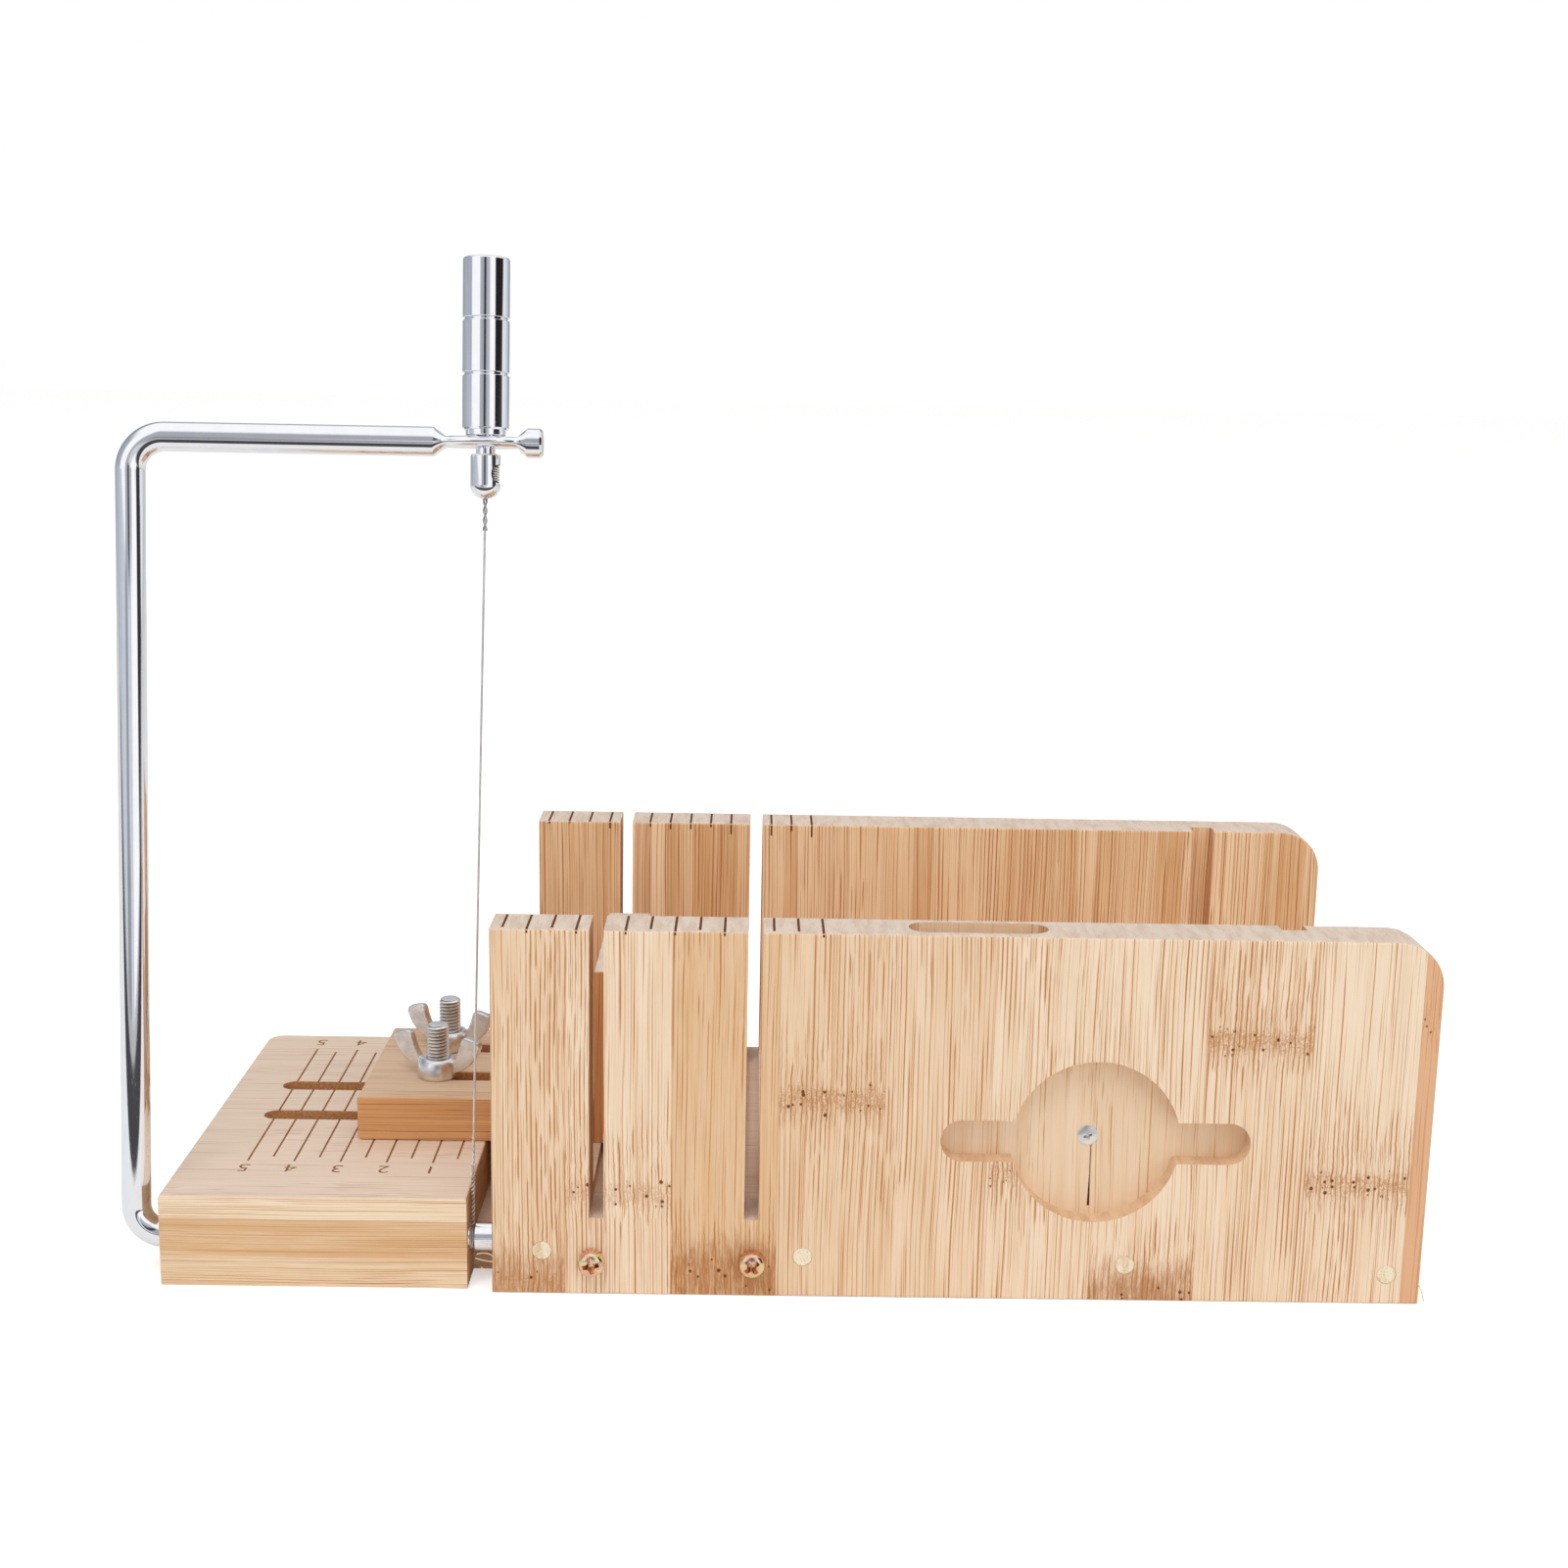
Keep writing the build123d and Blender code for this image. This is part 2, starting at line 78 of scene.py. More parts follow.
def deselect() -> None:
    """Leave edit mode and deselect every object."""
    if bpy.context.object and bpy.context.object.mode != "OBJECT":
        bpy.ops.object.mode_set(mode="OBJECT")
    bpy.ops.object.select_all(action="DESELECT")


def pick(*objects: Piece) -> None:
    """Select only some objects and make the first one active.

    Args:
        objects: The objects to select.
    """
    deselect()
    for piece in objects:
        piece.select_set(True)
    bpy.context.view_layer.objects.active = objects[0]


@contextmanager
def editing(piece: Piece, whole: bool = True) -> Iterator[None]:
    """Open a piece in edit mode by its vertices, and close it again.

    Args:
        piece: The mesh object to edit.
        whole: True selects all of it, false nothing.

    Returns:
        The context in which the piece is open.
    """
    pick(piece)
    bpy.ops.object.mode_set(mode="EDIT")
    bpy.ops.mesh.select_mode(type="VERT")
    bpy.ops.mesh.select_all(action="SELECT" if whole else "DESELECT")
    yield
    bpy.ops.object.mode_set(mode="OBJECT")


def choose(piece: Piece, test: Callable[[Vector], bool]) -> None:
    """Select the vertices of a piece in edit mode by their place.

    Args:
        piece: The mesh object, open in edit mode.
        test: Says yes or no to one place in millimetres.
    """
    shape = bmesh.from_edit_mesh(piece.data)
    for vertex in shape.verts:
        vertex.select_set(test(vertex.co / MM))
    shape.select_flush_mode()
    bmesh.update_edit_mesh(piece.data)


def weld(distance: float = 0.001) -> None:
    """Merge close points of the shape in edit mode and turn its faces outwards.

    Args:
        distance: Points closer than this, in millimetres, become one.
    """
    bpy.ops.mesh.select_all(action="SELECT")
    bpy.ops.mesh.remove_doubles(threshold=distance * MM)
    bpy.ops.mesh.normals_make_consistent(inside=False)


def named_new(name: str) -> Piece:
    """Name the primitive that was just added and put its place in its mesh.

    Args:
        name: The piece's name.

    Returns:
        The piece, at the origin.
    """
    piece = bpy.context.object
    piece.name = name
    piece.data.name = name
    settle(piece)
    return piece


def settle(piece: Piece) -> None:
    """Put a piece's place, turn and scale in its mesh."""
    pick(piece)
    bpy.ops.object.transform_apply(location=True, rotation=True, scale=True)


def modified(piece: Piece, kind: str, **settings: object) -> None:
    """Add one modifier to a piece and apply it.

    Args:
        piece: The mesh object.
        kind: The modifier's type.
        settings: The modifier's own settings.
    """
    modifier = piece.modifiers.new(kind.lower(), kind)
    for key, value in settings.items():
        setattr(modifier, key, value)
    pick(piece)
    bpy.ops.object.modifier_apply(modifier=modifier.name)


def smooth(piece: Piece, degrees: float = 35.0) -> None:
    """Shade a piece smooth across soft edges, with its broad faces kept flat.

    Args:
        piece: The mesh object.
        degrees: Edges sharper than this stay sharp.
    """
    pick(piece)
    bpy.ops.object.shade_smooth_by_angle(angle=math.radians(degrees))
    modified(piece, "WEIGHTED_NORMAL", keep_sharp=True, weight=80)


def cut(piece: Piece, cutter: Piece, keep: bool = False) -> None:
    """Cut one closed shape from another, or keep only what they share.

    Args:
        piece: The shape that stays.
        cutter: The shape that cuts; it is deleted.
        keep: True keeps what the two share.
    """
    operation = "INTERSECT" if keep else "DIFFERENCE"
    modified(piece, "BOOLEAN", operation=operation, object=cutter, solver="EXACT", material_mode="TRANSFER")
    bpy.data.objects.remove(cutter)


def joined(name: str, pieces: Sequence[Piece]) -> Piece:
    """Join several shapes into one object.

    Args:
        name: The name of the whole.
        pieces: The shapes, the first of which takes in the others.

    Returns:
        The joined object.
    """
    pick(*pieces)
    if len(pieces) > 1:
        bpy.ops.object.join()
    whole = pieces[0]
    whole.name = name
    whole.data.name = name
    return whole


def copied(piece: Piece, name: str) -> Piece:
    """Copy a piece with a mesh of its own.

    Args:
        piece: The piece to copy.
        name: The copy's name.

    Returns:
        The copy.
    """
    twin = piece.copy()
    twin.data = piece.data.copy()
    twin.name = name
    bpy.context.scene.collection.objects.link(twin)
    return twin


def node_copy(node: str, name: str) -> Piece:
    """Copy a solid's mesh as a closed shape that may be worked on.

    Args:
        node: The solid's name.
        name: The new piece's name.

    Returns:
        The new piece, its loose triangles merged.
    """
    piece = copied(frame["nodes"][node], name)
    piece.parent = None
    for key in list(piece.keys()):
        del piece[key]
    piece.data.materials.clear()
    pick(piece)
    if piece.data.has_custom_normals:
        bpy.ops.mesh.customdata_custom_splitnormals_clear()
    with editing(piece):
        bpy.ops.mesh.remove_doubles(threshold=0.002 * MM)
    return piece


def pin(name: str, radius: float, low: float, high: float, steps: int = 48) -> Piece:
    """Make an upright cylinder.

    Args:
        name: Its name.
        radius: Its radius in millimetres.
        low: Height of its lower end.
        high: Height of its upper end.
        steps: How many sides it has.

    Returns:
        The new object.
    """
    return turned(name, ((0, low), (radius, low), (radius, high), (0, high)), steps)


def block(name: str, low: Point, high: Point) -> Piece:
    """Make an upright block between two corners given in millimetres.

    Args:
        name: The block's name.
        low: Its lowest corner.
        high: Its highest corner.

    Returns:
        The block.
    """
    first, last = Vector(low), Vector(high)
    bpy.ops.mesh.primitive_cube_add(size=1, location=(first + last) / 2 * MM)
    bpy.context.object.scale = (last - first) * MM
    return named_new(name)


def traced(name: str, points: Sequence[Point]) -> Piece:
    """Draw an open line of edges through points given in millimetres.

    Args:
        name: The line's name.
        points: The points in order.

    Returns:
        A mesh object that holds only the line.
    """
    bpy.ops.mesh.primitive_plane_add(size=MM, location=Vector(points[0]) * MM)
    line = named_new(name)
    with editing(line):
        bpy.ops.mesh.merge(type="CENTER")
        for here, there in zip(points, points[1:]):
            step = (Vector(there) - Vector(here)) * MM
            bpy.ops.mesh.extrude_vertices_move(TRANSFORM_OT_translate={"value": step})
    return line


def turned(name: str, profile: Sequence[Corner], steps: int = 64) -> Piece:
    """Turn a half profile round the upright axis, as on a lathe.

    Args:
        name: The piece's name.
        profile: Pairs of radius and height in millimetres, from foot to top.
        steps: How many faces go round.

    Returns:
        The closed, turned piece.
    """
    piece = traced(name, [(radius, 0.0, height) for radius, height in profile])
    with editing(piece):
        bpy.ops.mesh.spin(steps=steps, angle=TURN, center=(0, 0, 0), axis=(0, 0, 1))
        weld()
    return piece


@dataclass(frozen=True)
class Thread:
    """A screw thread, in millimetres."""

    radius: float
    pitch: float
    depth: float
    steps: int = 40
    # Shares of the pitch: half of the flat root, and where the flat crest begins
    root_share: float = 0.13
    crest_share: float = 0.38
    # Turns drawn past each end, and how far the blank that trims them clears the crests
    spare: int = 2
    room: float = 0.05

    def rod(self, name: str, bottom: float, top: float, ease: float) -> Piece:
        """Make a closed threaded rod with eased ends.

        Args:
            name: The rod's name.
            bottom: Height of its lower end.
            top: Height of its upper end.
            ease: How far each end is chamfered.

        Returns:
            The rod, upright on the axis.
        """
        root = self.radius - self.depth
        flat, rise = self.root_share, self.crest_share
        crest = self.radius
        outline = ((root, 0.0), (root, flat), (crest, rise), (crest, 1 - rise), (root, 1 - flat), (root, 1.0))
        start = bottom - self.spare * self.pitch
        rod = traced(name, [(out, 0.0, start + share * self.pitch) for out, share in outline])
        turns = math.ceil((top - bottom) / self.pitch) + 2 * self.spare
        modified(
            rod, "SCREW", axis="Z", angle=TURN, screw_offset=self.pitch * MM, iterations=turns,
            steps=self.steps, render_steps=self.steps, use_merge_vertices=True, merge_threshold=0.002 * MM,
        )
        for height, outer in ((top + self.pitch / 2, True), (bottom - self.pitch / 2, False)):
            with editing(rod):
                bpy.ops.mesh.bisect(
                    plane_co=(0, 0, height * MM), plane_no=(0, 0, 1), use_fill=True,
                    clear_outer=outer, clear_inner=not outer,
                )
        with editing(rod):
            weld()
        wide, narrow = crest + self.room, crest - ease
        low, high = bottom + ease, top - ease
        profile = ((0, bottom), (narrow, bottom), (wide, low), (wide, high), (narrow, top), (0, top))
        cut(rod, turned("blank", profile, self.steps), keep=True)
        return rod


def wire_along(name: str, line: Piece, diameter: float, sides: int = 3) -> Piece:
    """Give a line of edges a round section, so that it becomes a wire.

    Args:
        name: The wire's name.
        line: The line of edges; it becomes the wire.
        diameter: The wire's diameter in millimetres.
        sides: The resolution of its section.

    Returns:
        The wire as a closed mesh.
    """
    pick(line)
    bpy.ops.object.convert(target="CURVE")
    shape = bpy.context.object
    shape.data.dimensions = "3D"
    shape.data.bevel_depth = diameter / 2 * MM
    shape.data.bevel_resolution = sides
    shape.data.use_fill_caps = True
    bpy.ops.object.convert(target="MESH")
    wire = bpy.context.object
    wire.name = name
    wire.data.name = name
    pick(wire)
    bpy.ops.object.shade_smooth()
    return wire


def helix(
    name: str, radius: float, bottom: float, top: float, turns: float, start: float = 0.0, per_turn: int = 18
) -> Piece:
    """Draw a screw line round the upright axis, in millimetres.

    Args:
        name: The line's name.
        radius: Its distance from the axis.
        bottom: Height of its first point.
        top: Height of its last point.
        turns: How often it goes round.
        start: Where it starts, as a share of a turn.
        per_turn: Points in one turn.

    Returns:
        The line of edges.
    """
    count = int(turns * per_turn)
    points = []
    for step in range(count + 1):
        share = step / count
        angle = TURN * (start + share * turns)
        points.append((radius * math.cos(angle), radius * math.sin(angle), bottom + share * (top - bottom)))
    return traced(name, points)


# Nodes of the materials


class Net:
    """A node tree with short ways to add nodes and join them."""

    def __init__(self, tree: bpy.types.NodeTree) -> None:
        """Hold one node tree."""
        self.tree = tree

    def node(self, kind: str, inputs: dict | None = None, **settings: object) -> bpy.types.Node:
        """Add a node, set it and feed it.

        Args:
            kind: The node's type.
            inputs: Values or sockets, by the input's name or number.
            settings: The node's own settings.

        Returns:
            The new node.
        """
        made = self.tree.nodes.new(kind)
        for key, value in settings.items():
            setattr(made, key, value)
        for key, value in (inputs or {}).items():
            self.feed(made.inputs[key], value)
        return made

    def feed(self, socket: Socket, value: Feed) -> None:
        """Join a socket to an output, or set its value.

        Args:
            socket: The input.
            value: An output to join it to, or a plain value.
        """
        if isinstance(value, Socket):
            self.tree.links.new(value, socket)
        elif isinstance(value, tuple) and socket.type == "RGBA":
            socket.default_value = (*value[:3], 1.0)
        else:
            socket.default_value = value

    def math(self, operation: str, first: Feed, second: Feed = 0.0, third: Feed = 0.0) -> Socket:
        """Work out one number from up to three.

        Args:
            operation: The sum to do.
            first: The first number.
            second: The second number.
            third: The third number.

        Returns:
            The result's socket.
        """
        made = self.node("ShaderNodeMath", {0: first, 1: second, 2: third}, operation=operation)
        return made.outputs[0]

    def mix(self, share: Feed, first: Feed, second: Feed, blend: str = "MIX") -> Socket:
        """Mix two colours.

        Args:
            share: How much of the second colour.
            first: The first colour.
            second: The second colour.
            blend: How they mix.

        Returns:
            The mixed colour's socket.
        """
        made = self.node("ShaderNodeMix", {0: share, 6: first, 7: second}, data_type="RGBA", blend_type=blend)
        return made.outputs[2]

    def sway(self, wave: Feed, strength: Feed, base: Feed) -> Socket:
        """Let a number swing with a wave that has its middle at 0.5.

        Args:
            wave: The wave.
            strength: How much of it is added.
            base: The number.

        Returns:
            The result's socket.
        """
        return self.math("MULTIPLY_ADD", self.math("SUBTRACT", wave, 0.5), strength, base)

    def ramp(self, value: Feed, low: float = 0.0, high: float = 1.0) -> Socket:
        """Run a number straight from 0 to 1 as it goes from low to high.

        Args:
            value: The number.
            low: Where the result leaves 0.
            high: Where it reaches 1.

        Returns:
            The result's socket.
        """
        return self.node("ShaderNodeMapRange", {0: value, 1: low, 2: high}).outputs[0]

    def between(self, value: Feed, low: float, high: float, start: Feed = 0.0, end: Feed = 1.0) -> Socket:
        """Ease a number from start to end as it goes from low to high.

        Args:
            value: The number.
            low: Where the change begins.
            high: Where it ends.
            start: The result below low.
            end: The result above high.

        Returns:
            The result's socket.
        """
        made = self.node(
            "ShaderNodeMapRange",
            {0: value, 1: low, 2: high, 3: start, 4: end},
            interpolation_type="SMOOTHSTEP",
        )
        return made.outputs[0]

    def noise(
        self, place: Feed, scale: float, detail: float = 2.0, rough: float = 0.5, bend: float = 0.0
    ) -> Socket:
        """Add soft noise.

        Args:
            place: Where it is read.
            scale: How fine it is.
            detail: How many finer layers it has.
            rough: How strong those are.
            bend: How far it is distorted.

        Returns:
            The noise value's socket.
        """
        inputs = {"Vector": place, "Scale": scale, "Detail": detail, "Roughness": rough, "Distortion": bend}
        return self.node("ShaderNodeTexNoise", inputs).outputs[0]

    def wave(self, where: Feed, detail: float = 0.0) -> Socket:
        """Add soft noise along one line.

        Args:
            where: The place on the line.
            detail: How many finer layers it has.

        Returns:
            The noise value's socket.
        """
        inputs = {"W": where, "Scale": 1.0, "Detail": detail}
        return self.node("ShaderNodeTexNoise", inputs, noise_dimensions="1D").outputs[0]

    def dice(self, number: Feed) -> tuple[Socket, Sequence[Socket]]:
        """Draw four random values that belong to one number.

        Args:
            number: The number.

        Returns:
            One value's socket, and the sockets of three more.
        """
        drawn = self.node("ShaderNodeTexWhiteNoise", {"W": number}, noise_dimensions="1D").outputs
        return drawn["Value"], self.node("ShaderNodeSeparateColor", {0: drawn["Color"]}).outputs

    def axes(self, place: Feed) -> Sequence[Socket]:
        """Take a place apart into its three numbers."""
        return self.node("ShaderNodeSeparateXYZ", {0: place}).outputs

    def stretched(self, place: Feed, across: float, deep: float, along: float) -> Socket:
        """Scale a place by its own factor along each axis.

        Args:
            place: The place to scale.
            across: Factor across the grain.
            deep: Factor into the wood.
            along: Factor along the grain.

        Returns:
            The scaled place's socket.
        """
        made = self.node("ShaderNodeVectorMath", {0: place, 1: (across, deep, along)}, operation="MULTIPLY")
        return made.outputs[0]

    def group(self, name: str, **inputs: Feed) -> bpy.types.Node:
        """Place a shared effect with this material's own values.

        Args:
            name: The effect's name.
            inputs: Values or sockets, by the input's name.

        Returns:
            The group node.
        """
        made = self.tree.nodes.new("ShaderNodeGroup")
        made.node_tree = EFFECTS[name]
        for key, value in inputs.items():
            self.feed(made.inputs[key], value)
        return made

    def times(self, first: Feed, second: Feed) -> Socket:
        """Multiply two numbers."""
        return self.math("MULTIPLY", first, second)


EFFECTS: dict[str, bpy.types.NodeTree] = {}
# Kinds of the effects' sockets that hold more than a number
KINDS = {"Place": "NodeSocketVector"} | dict.fromkeys(("Pale", "Deep", "Fibre", "Color"), "NodeSocketColor")


def effect(takes: str, gives: str) -> Callable:
    """Build a shared effect once, from a function that joins its nodes.

    Args:
        takes: The names of its inputs.
        gives: The names of its outputs.

    Returns:
        A decorator for the function, which takes the net and the inputs and
        gives the outputs by name. The effect has the function's name.
    """

    def build(body: Callable[[Net, Given], dict[str, Feed]]) -> Callable:
        """Build the group from the function.

        Args:
            body: The function.

        Returns:
            The same function.
        """
        tree = bpy.data.node_groups.new(body.__name__, "ShaderNodeTree")
        for way, names in (("INPUT", takes), ("OUTPUT", gives)):
            for key in names.split():
                kind = KINDS.get(key, "NodeSocketFloat")
                tree.interface.new_socket(name=key, in_out=way, socket_type=kind)
        net = Net(tree)
        entry = net.node("NodeGroupInput")
        results = body(net, {key: entry.outputs[key] for key in takes.split()})
        net.node("NodeGroupOutput", results)
        EFFECTS[body.__name__] = tree
        return body

    return build


@effect("Across Along Pitch Long Short Zone Cover Seed", "Line Soft")
def fibre_lines(net: Net, given: Given) -> dict[str, Feed]:
    """Rows of thin fibres that swell and taper along the grain.

    Args:
        net: The group's nodes.
        given: The group's inputs, Across and Along in millimetres.

    Returns:
        The mask of the fibres and a softer one round them.
    """
    lanes = net.math("DIVIDE", given["Across"], given["Pitch"])
    lanes = net.math("ADD", lanes, net.times(given["Seed"], 7.31))
    value, parts = net.dice(net.math("ADD", net.math("FLOOR", lanes), given["Seed"]))
    middle = net.math("MULTIPLY_ADD", parts[0], 0.34, 0.33)
    off = net.math("ABSOLUTE", net.math("SUBTRACT", net.math("FRACT", lanes), middle))
    waves = []
    for speed, lift in ((given["Long"], parts[1]), (given["Short"], parts[2])):
        where = net.math("MULTIPLY_ADD", given["Along"], speed, net.times(lift, 900.0))
        waves.append(net.wave(where, 1.0))
    wave = net.node("ShaderNodeMix", {0: given["Zone"], 2: waves[0], 3: waves[1]}, data_type="FLOAT")
    swell = net.between(net.math("ADD", wave.outputs[0], given["Cover"]), 0.42, 0.66)
    width = net.times(swell, net.math("MULTIPLY_ADD", value, 0.11, 0.06))
    inside = net.math("SUBTRACT", width, off)
    line = net.times(net.ramp(inside, -0.05, 0.06), net.math("MULTIPLY_ADD", swell, 0.6, 0.4))
    soft = net.ramp(inside, -0.24, 0.1)
    return {"Line": line, "Soft": net.times(soft, swell)}


@effect(
    "Place Lamella Shift Vary Seed Long Short Zone Cover Spread Tone Pitch Pale Deep Fibre",
    "Color Height",
)
def bamboo_wood(net: Net, given: Given) -> dict[str, Feed]:
    """Glued bamboo strips with their darker fibres.

    Place holds millimetres across the strips, into the wood and along the grain.

    Args:
        net: The group's nodes.
        given: The group's inputs.

    Returns:
        The wood's colour and the fibres' height.
    """
    across, _, along = net.axes(given["Place"])
    spread = net.sway(net.wave(net.times(across, 0.11)), given["Vary"], across)
    strips = net.math("DIVIDE", net.math("SUBTRACT", spread, given["Shift"]), given["Lamella"])
    own, own_parts = net.dice(net.math("ADD", net.math("FLOOR", strips), given["Seed"]))
    curl = net.noise(net.stretched(given["Place"], 0.4, 0.1, 0.22), 1.0, 2.0, 0.6)
    drift = net.noise(net.stretched(given["Place"], 0.05, 0.1, 0.018), 1.0, 1.0, 0.5)
    bent = net.sway(curl, net.math("MULTIPLY_ADD", given["Zone"], 0.8, 0.04), across)
    bent = net.sway(drift, 2.0, bent)
    bent = net.math("MULTIPLY_ADD", own_parts[0], 37.0, bent)
    patch = net.noise(net.stretched(given["Place"], 0.09, 0.1, 0.03), 1.0, 2.0, 0.55)
    busy = net.between(net.math("ADD", patch, net.times(own_parts[2], 0.1)), 0.54, 0.72)
    zone = net.math("MAXIMUM", given["Zone"], busy)
    cover = net.math("MULTIPLY_ADD", given["Zone"], 0.07, net.sway(patch, 0.35, given["Cover"]))
    lines = []
    for pitch, seed, less in ((1.0, 1.0, 0.0), (0.64, 23.0, 0.02)):
        lines.append(net.group(
            "fibre_lines", Across=bent, Along=along, Pitch=net.times(given["Pitch"], pitch),
            Long=given["Long"], Short=given["Short"], Zone=zone,
            Cover=net.math("SUBTRACT", cover, less), Seed=net.math("ADD", given["Seed"], seed),
        ))
    first, second = lines[0].outputs, lines[1].outputs
    strong = net.math("MAXIMUM", first["Line"], net.times(second["Line"], 0.62))
    halo = net.math("MAXIMUM", first["Soft"], net.times(second["Soft"], 0.6))
    grain = net.noise(net.stretched(given["Place"], 4.5, 1.0, 0.22), 1.0, 2.0, 0.6)
    bands = net.noise(net.stretched(given["Place"], 0.42, 0.2, 0.022), 1.0, 3.0, 0.6)
    tone = net.math("ADD", net.sway(own, given["Spread"], 0.36), given["Tone"])
    tone = net.sway(grain, 0.5, net.sway(bands, 1.3, tone))
    ground = net.mix(net.ramp(tone), given["Pale"], given["Deep"])
    ground = net.mix(net.times(halo, 0.3), ground, given["Deep"])
    edge = net.times(net.math("PINGPONG", strips, 0.5), given["Lamella"])
    seam = net.between(edge, 0.03, 0.16, 0.4, 0.0)
    colour = net.mix(net.times(strong, 0.98), ground, given["Fibre"])
    colour = net.mix(seam, colour, given["Fibre"])
    height = net.math("MULTIPLY_ADD", strong, -0.6, net.times(seam, -0.9))
    height = net.math("MULTIPLY_ADD", grain, 0.4, height)
    return {"Color": colour, "Height": height}


@effect(
    "Across Along Ragged Left Right Height Ring Smudge Tone Zones Rings Smudges Tones",
    "Zones Rings Smudges Tones",
)
def cane_joint(net: Net, given: Given) -> dict[str, Feed]:
    """One strip's own tone and the joint of the cane across it.

    Zones, Rings, Smudges and Tones take what the strips before this one gave.

    Args:
        net: The group's nodes.
        given: The group's inputs, places in millimetres.

    Returns:
        Masks of the short fibres, of the ring and of the brown smudge, and the tone.
    """
    right_of = net.math("GREATER_THAN", given["Across"], given["Left"])
    inside = net.times(right_of, net.math("LESS_THAN", given["Across"], given["Right"]))
    uneven = net.math("SUBTRACT", given["Ragged"], 0.5)
    rise = net.math("SUBTRACT", given["Along"], given["Height"])
    near = net.math("MULTIPLY_ADD", uneven, 9.0, rise)
    far = net.math("MULTIPLY_ADD", uneven, 13.0, rise)
    zone = net.times(net.between(rise, 3.0, 21.0, 1.0, 0.0), net.between(rise, -9.0, -4.0))
    ring = net.times(net.between(near, 0.6, 2.8, 1.0, 0.0), net.between(near, -4.2, -1.4))
    smudge = net.times(net.between(far, 2.0, 10.0, 1.0, 0.0), net.between(far, -8.0, -4.0))
    joint = net.times(inside, net.math("GREATER_THAN", given["Ring"], 0.01))
    results = {}
    for name, mask, level in (
        ("Zones", zone, joint),
        ("Rings", ring, net.times(inside, given["Ring"])),
        ("Smudges", smudge, net.times(inside, given["Smudge"])),
    ):
        results[name] = net.math("MAXIMUM", net.times(mask, level), given[name])
    results["Tones"] = net.math("MULTIPLY_ADD", inside, given["Tone"], given["Tones"])
    return results


@effect("Place Pale Deep", "Color Height")
def end_grain(net: Net, given: Given) -> dict[str, Feed]:
    """Sawn ends of bamboo strips, closely dotted.

    Args:
        net: The group's nodes.
        given: The group's inputs, Place in millimetres.

    Returns:
        The colour and the height.
    """
    place = given["Place"]
    cells = net.node("ShaderNodeTexVoronoi", {"Vector": net.stretched(place, 2.4, 2.0, 0.6), "Scale": 1.0})
    dots = net.between(cells.outputs["Distance"], 0.12, 0.42, 1.0, 0.0)
    rows = net.noise(net.stretched(place, 0.5, 0.12, 0.1), 1.0, 2.0, 0.6)
    grit = net.noise(place, 5.0, 2.0, 0.6)
    blend = net.math("MULTIPLY_ADD", dots, 0.5, net.between(rows, 0.35, 0.7, 0.0, 0.45))
    blend = net.sway(grit, 0.5, blend)
    height = net.math("MULTIPLY_ADD", dots, -0.5, grit)
    return {"Color": net.mix(blend, given["Pale"], given["Deep"]), "Height": height}


@effect("Place Rough Swing", "Roughness Dust Height")
def handling(net: Net, given: Given) -> dict[str, Feed]:
    """Traces of handling: cloudy gloss, fine dust and hairline scratches.

    Args:
        net: The group's nodes.
        given: The group's inputs, Place in millimetres.

    Returns:
        Roughness, a dust mask and the scratches' height.
    """
    clouds = net.noise(given["Place"], 0.12, 4.0, 0.6)
    dust = net.noise(given["Place"], 1.7, 3.0, 0.7)
    lines = net.noise(net.stretched(given["Place"], 6.0, 6.0, 0.25), 1.0, 1.0, 0.5)
    scratch = net.between(lines, 0.66, 0.72)
    rough = net.sway(clouds, given["Swing"], given["Rough"])
    rough = net.math("MULTIPLY_ADD", scratch, 0.06, rough)
    return {"Roughness": rough, "Dust": net.between(dust, 0.62, 0.8), "Height": net.times(scratch, -1.0)}


# Finishes


class Grain(Enum):
    """Which way the fibres run, as the axes across, into and along the wood."""

    UPRIGHT = (0, 1, 2)
    LENGTHWISE_FLAT = (1, 2, 0)
    LENGTHWISE_EDGE = (2, 1, 0)
    UPRIGHT_ACROSS = (1, 0, 2)


def srgb(red: int, green: int, blue: int) -> Colour:
    """Turn a colour as it is seen, each part from 0 to 255, into linear light."""
    parts = [part / 255 for part in (red, green, blue)]
    return tuple(p / 12.92 if p <= 0.04045 else ((p + 0.055) / 1.055) ** 2.4 for p in parts)


def blank_material(name: str) -> tuple[bpy.types.Material, Net, bpy.types.Node]:
    """Start a material.

    Args:
        name: The material's name.

    Returns:
        The material, its net and its Principled shader.
    """
    material = bpy.data.materials.new(name)
    material.use_nodes = True
    shader = next(n for n in material.node_tree.nodes if n.type == "BSDF_PRINCIPLED")
    return material, Net(material.node_tree), shader


def millimetres(net: Net, axes: tuple[int, int, int] = (0, 1, 2)) -> Socket:
    """Read the place on the object in millimetres, its axes in a given order.

    Args:
        net: The material's nodes.
        axes: Which axis comes first, second and third.

    Returns:
        The place's socket.
    """
    parts = net.axes(net.node("ShaderNodeTexCoord").outputs["Object"])
    ordered = net.node("ShaderNodeCombineXYZ", {i: parts[axis] for i, axis in enumerate(axes)})
    return net.stretched(ordered.outputs[0], *[1 / MM] * 3)


def bumped(net: Net, shader: bpy.types.Node, height: Feed, strength: float, reach: float) -> None:
    """Give a shader a bump from a height.

    Args:
        net: The material's nodes.
        shader: The Principled shader.
        height: The height's socket.
        strength: How strong the bump is, from 0 to 1.
        reach: How deep it is in millimetres.
    """
    inputs = {"Height": height, "Strength": strength, "Distance": reach * MM}
    bump = net.node("ShaderNodeBump", inputs)
    net.feed(shader.inputs["Normal"], bump.outputs[0])


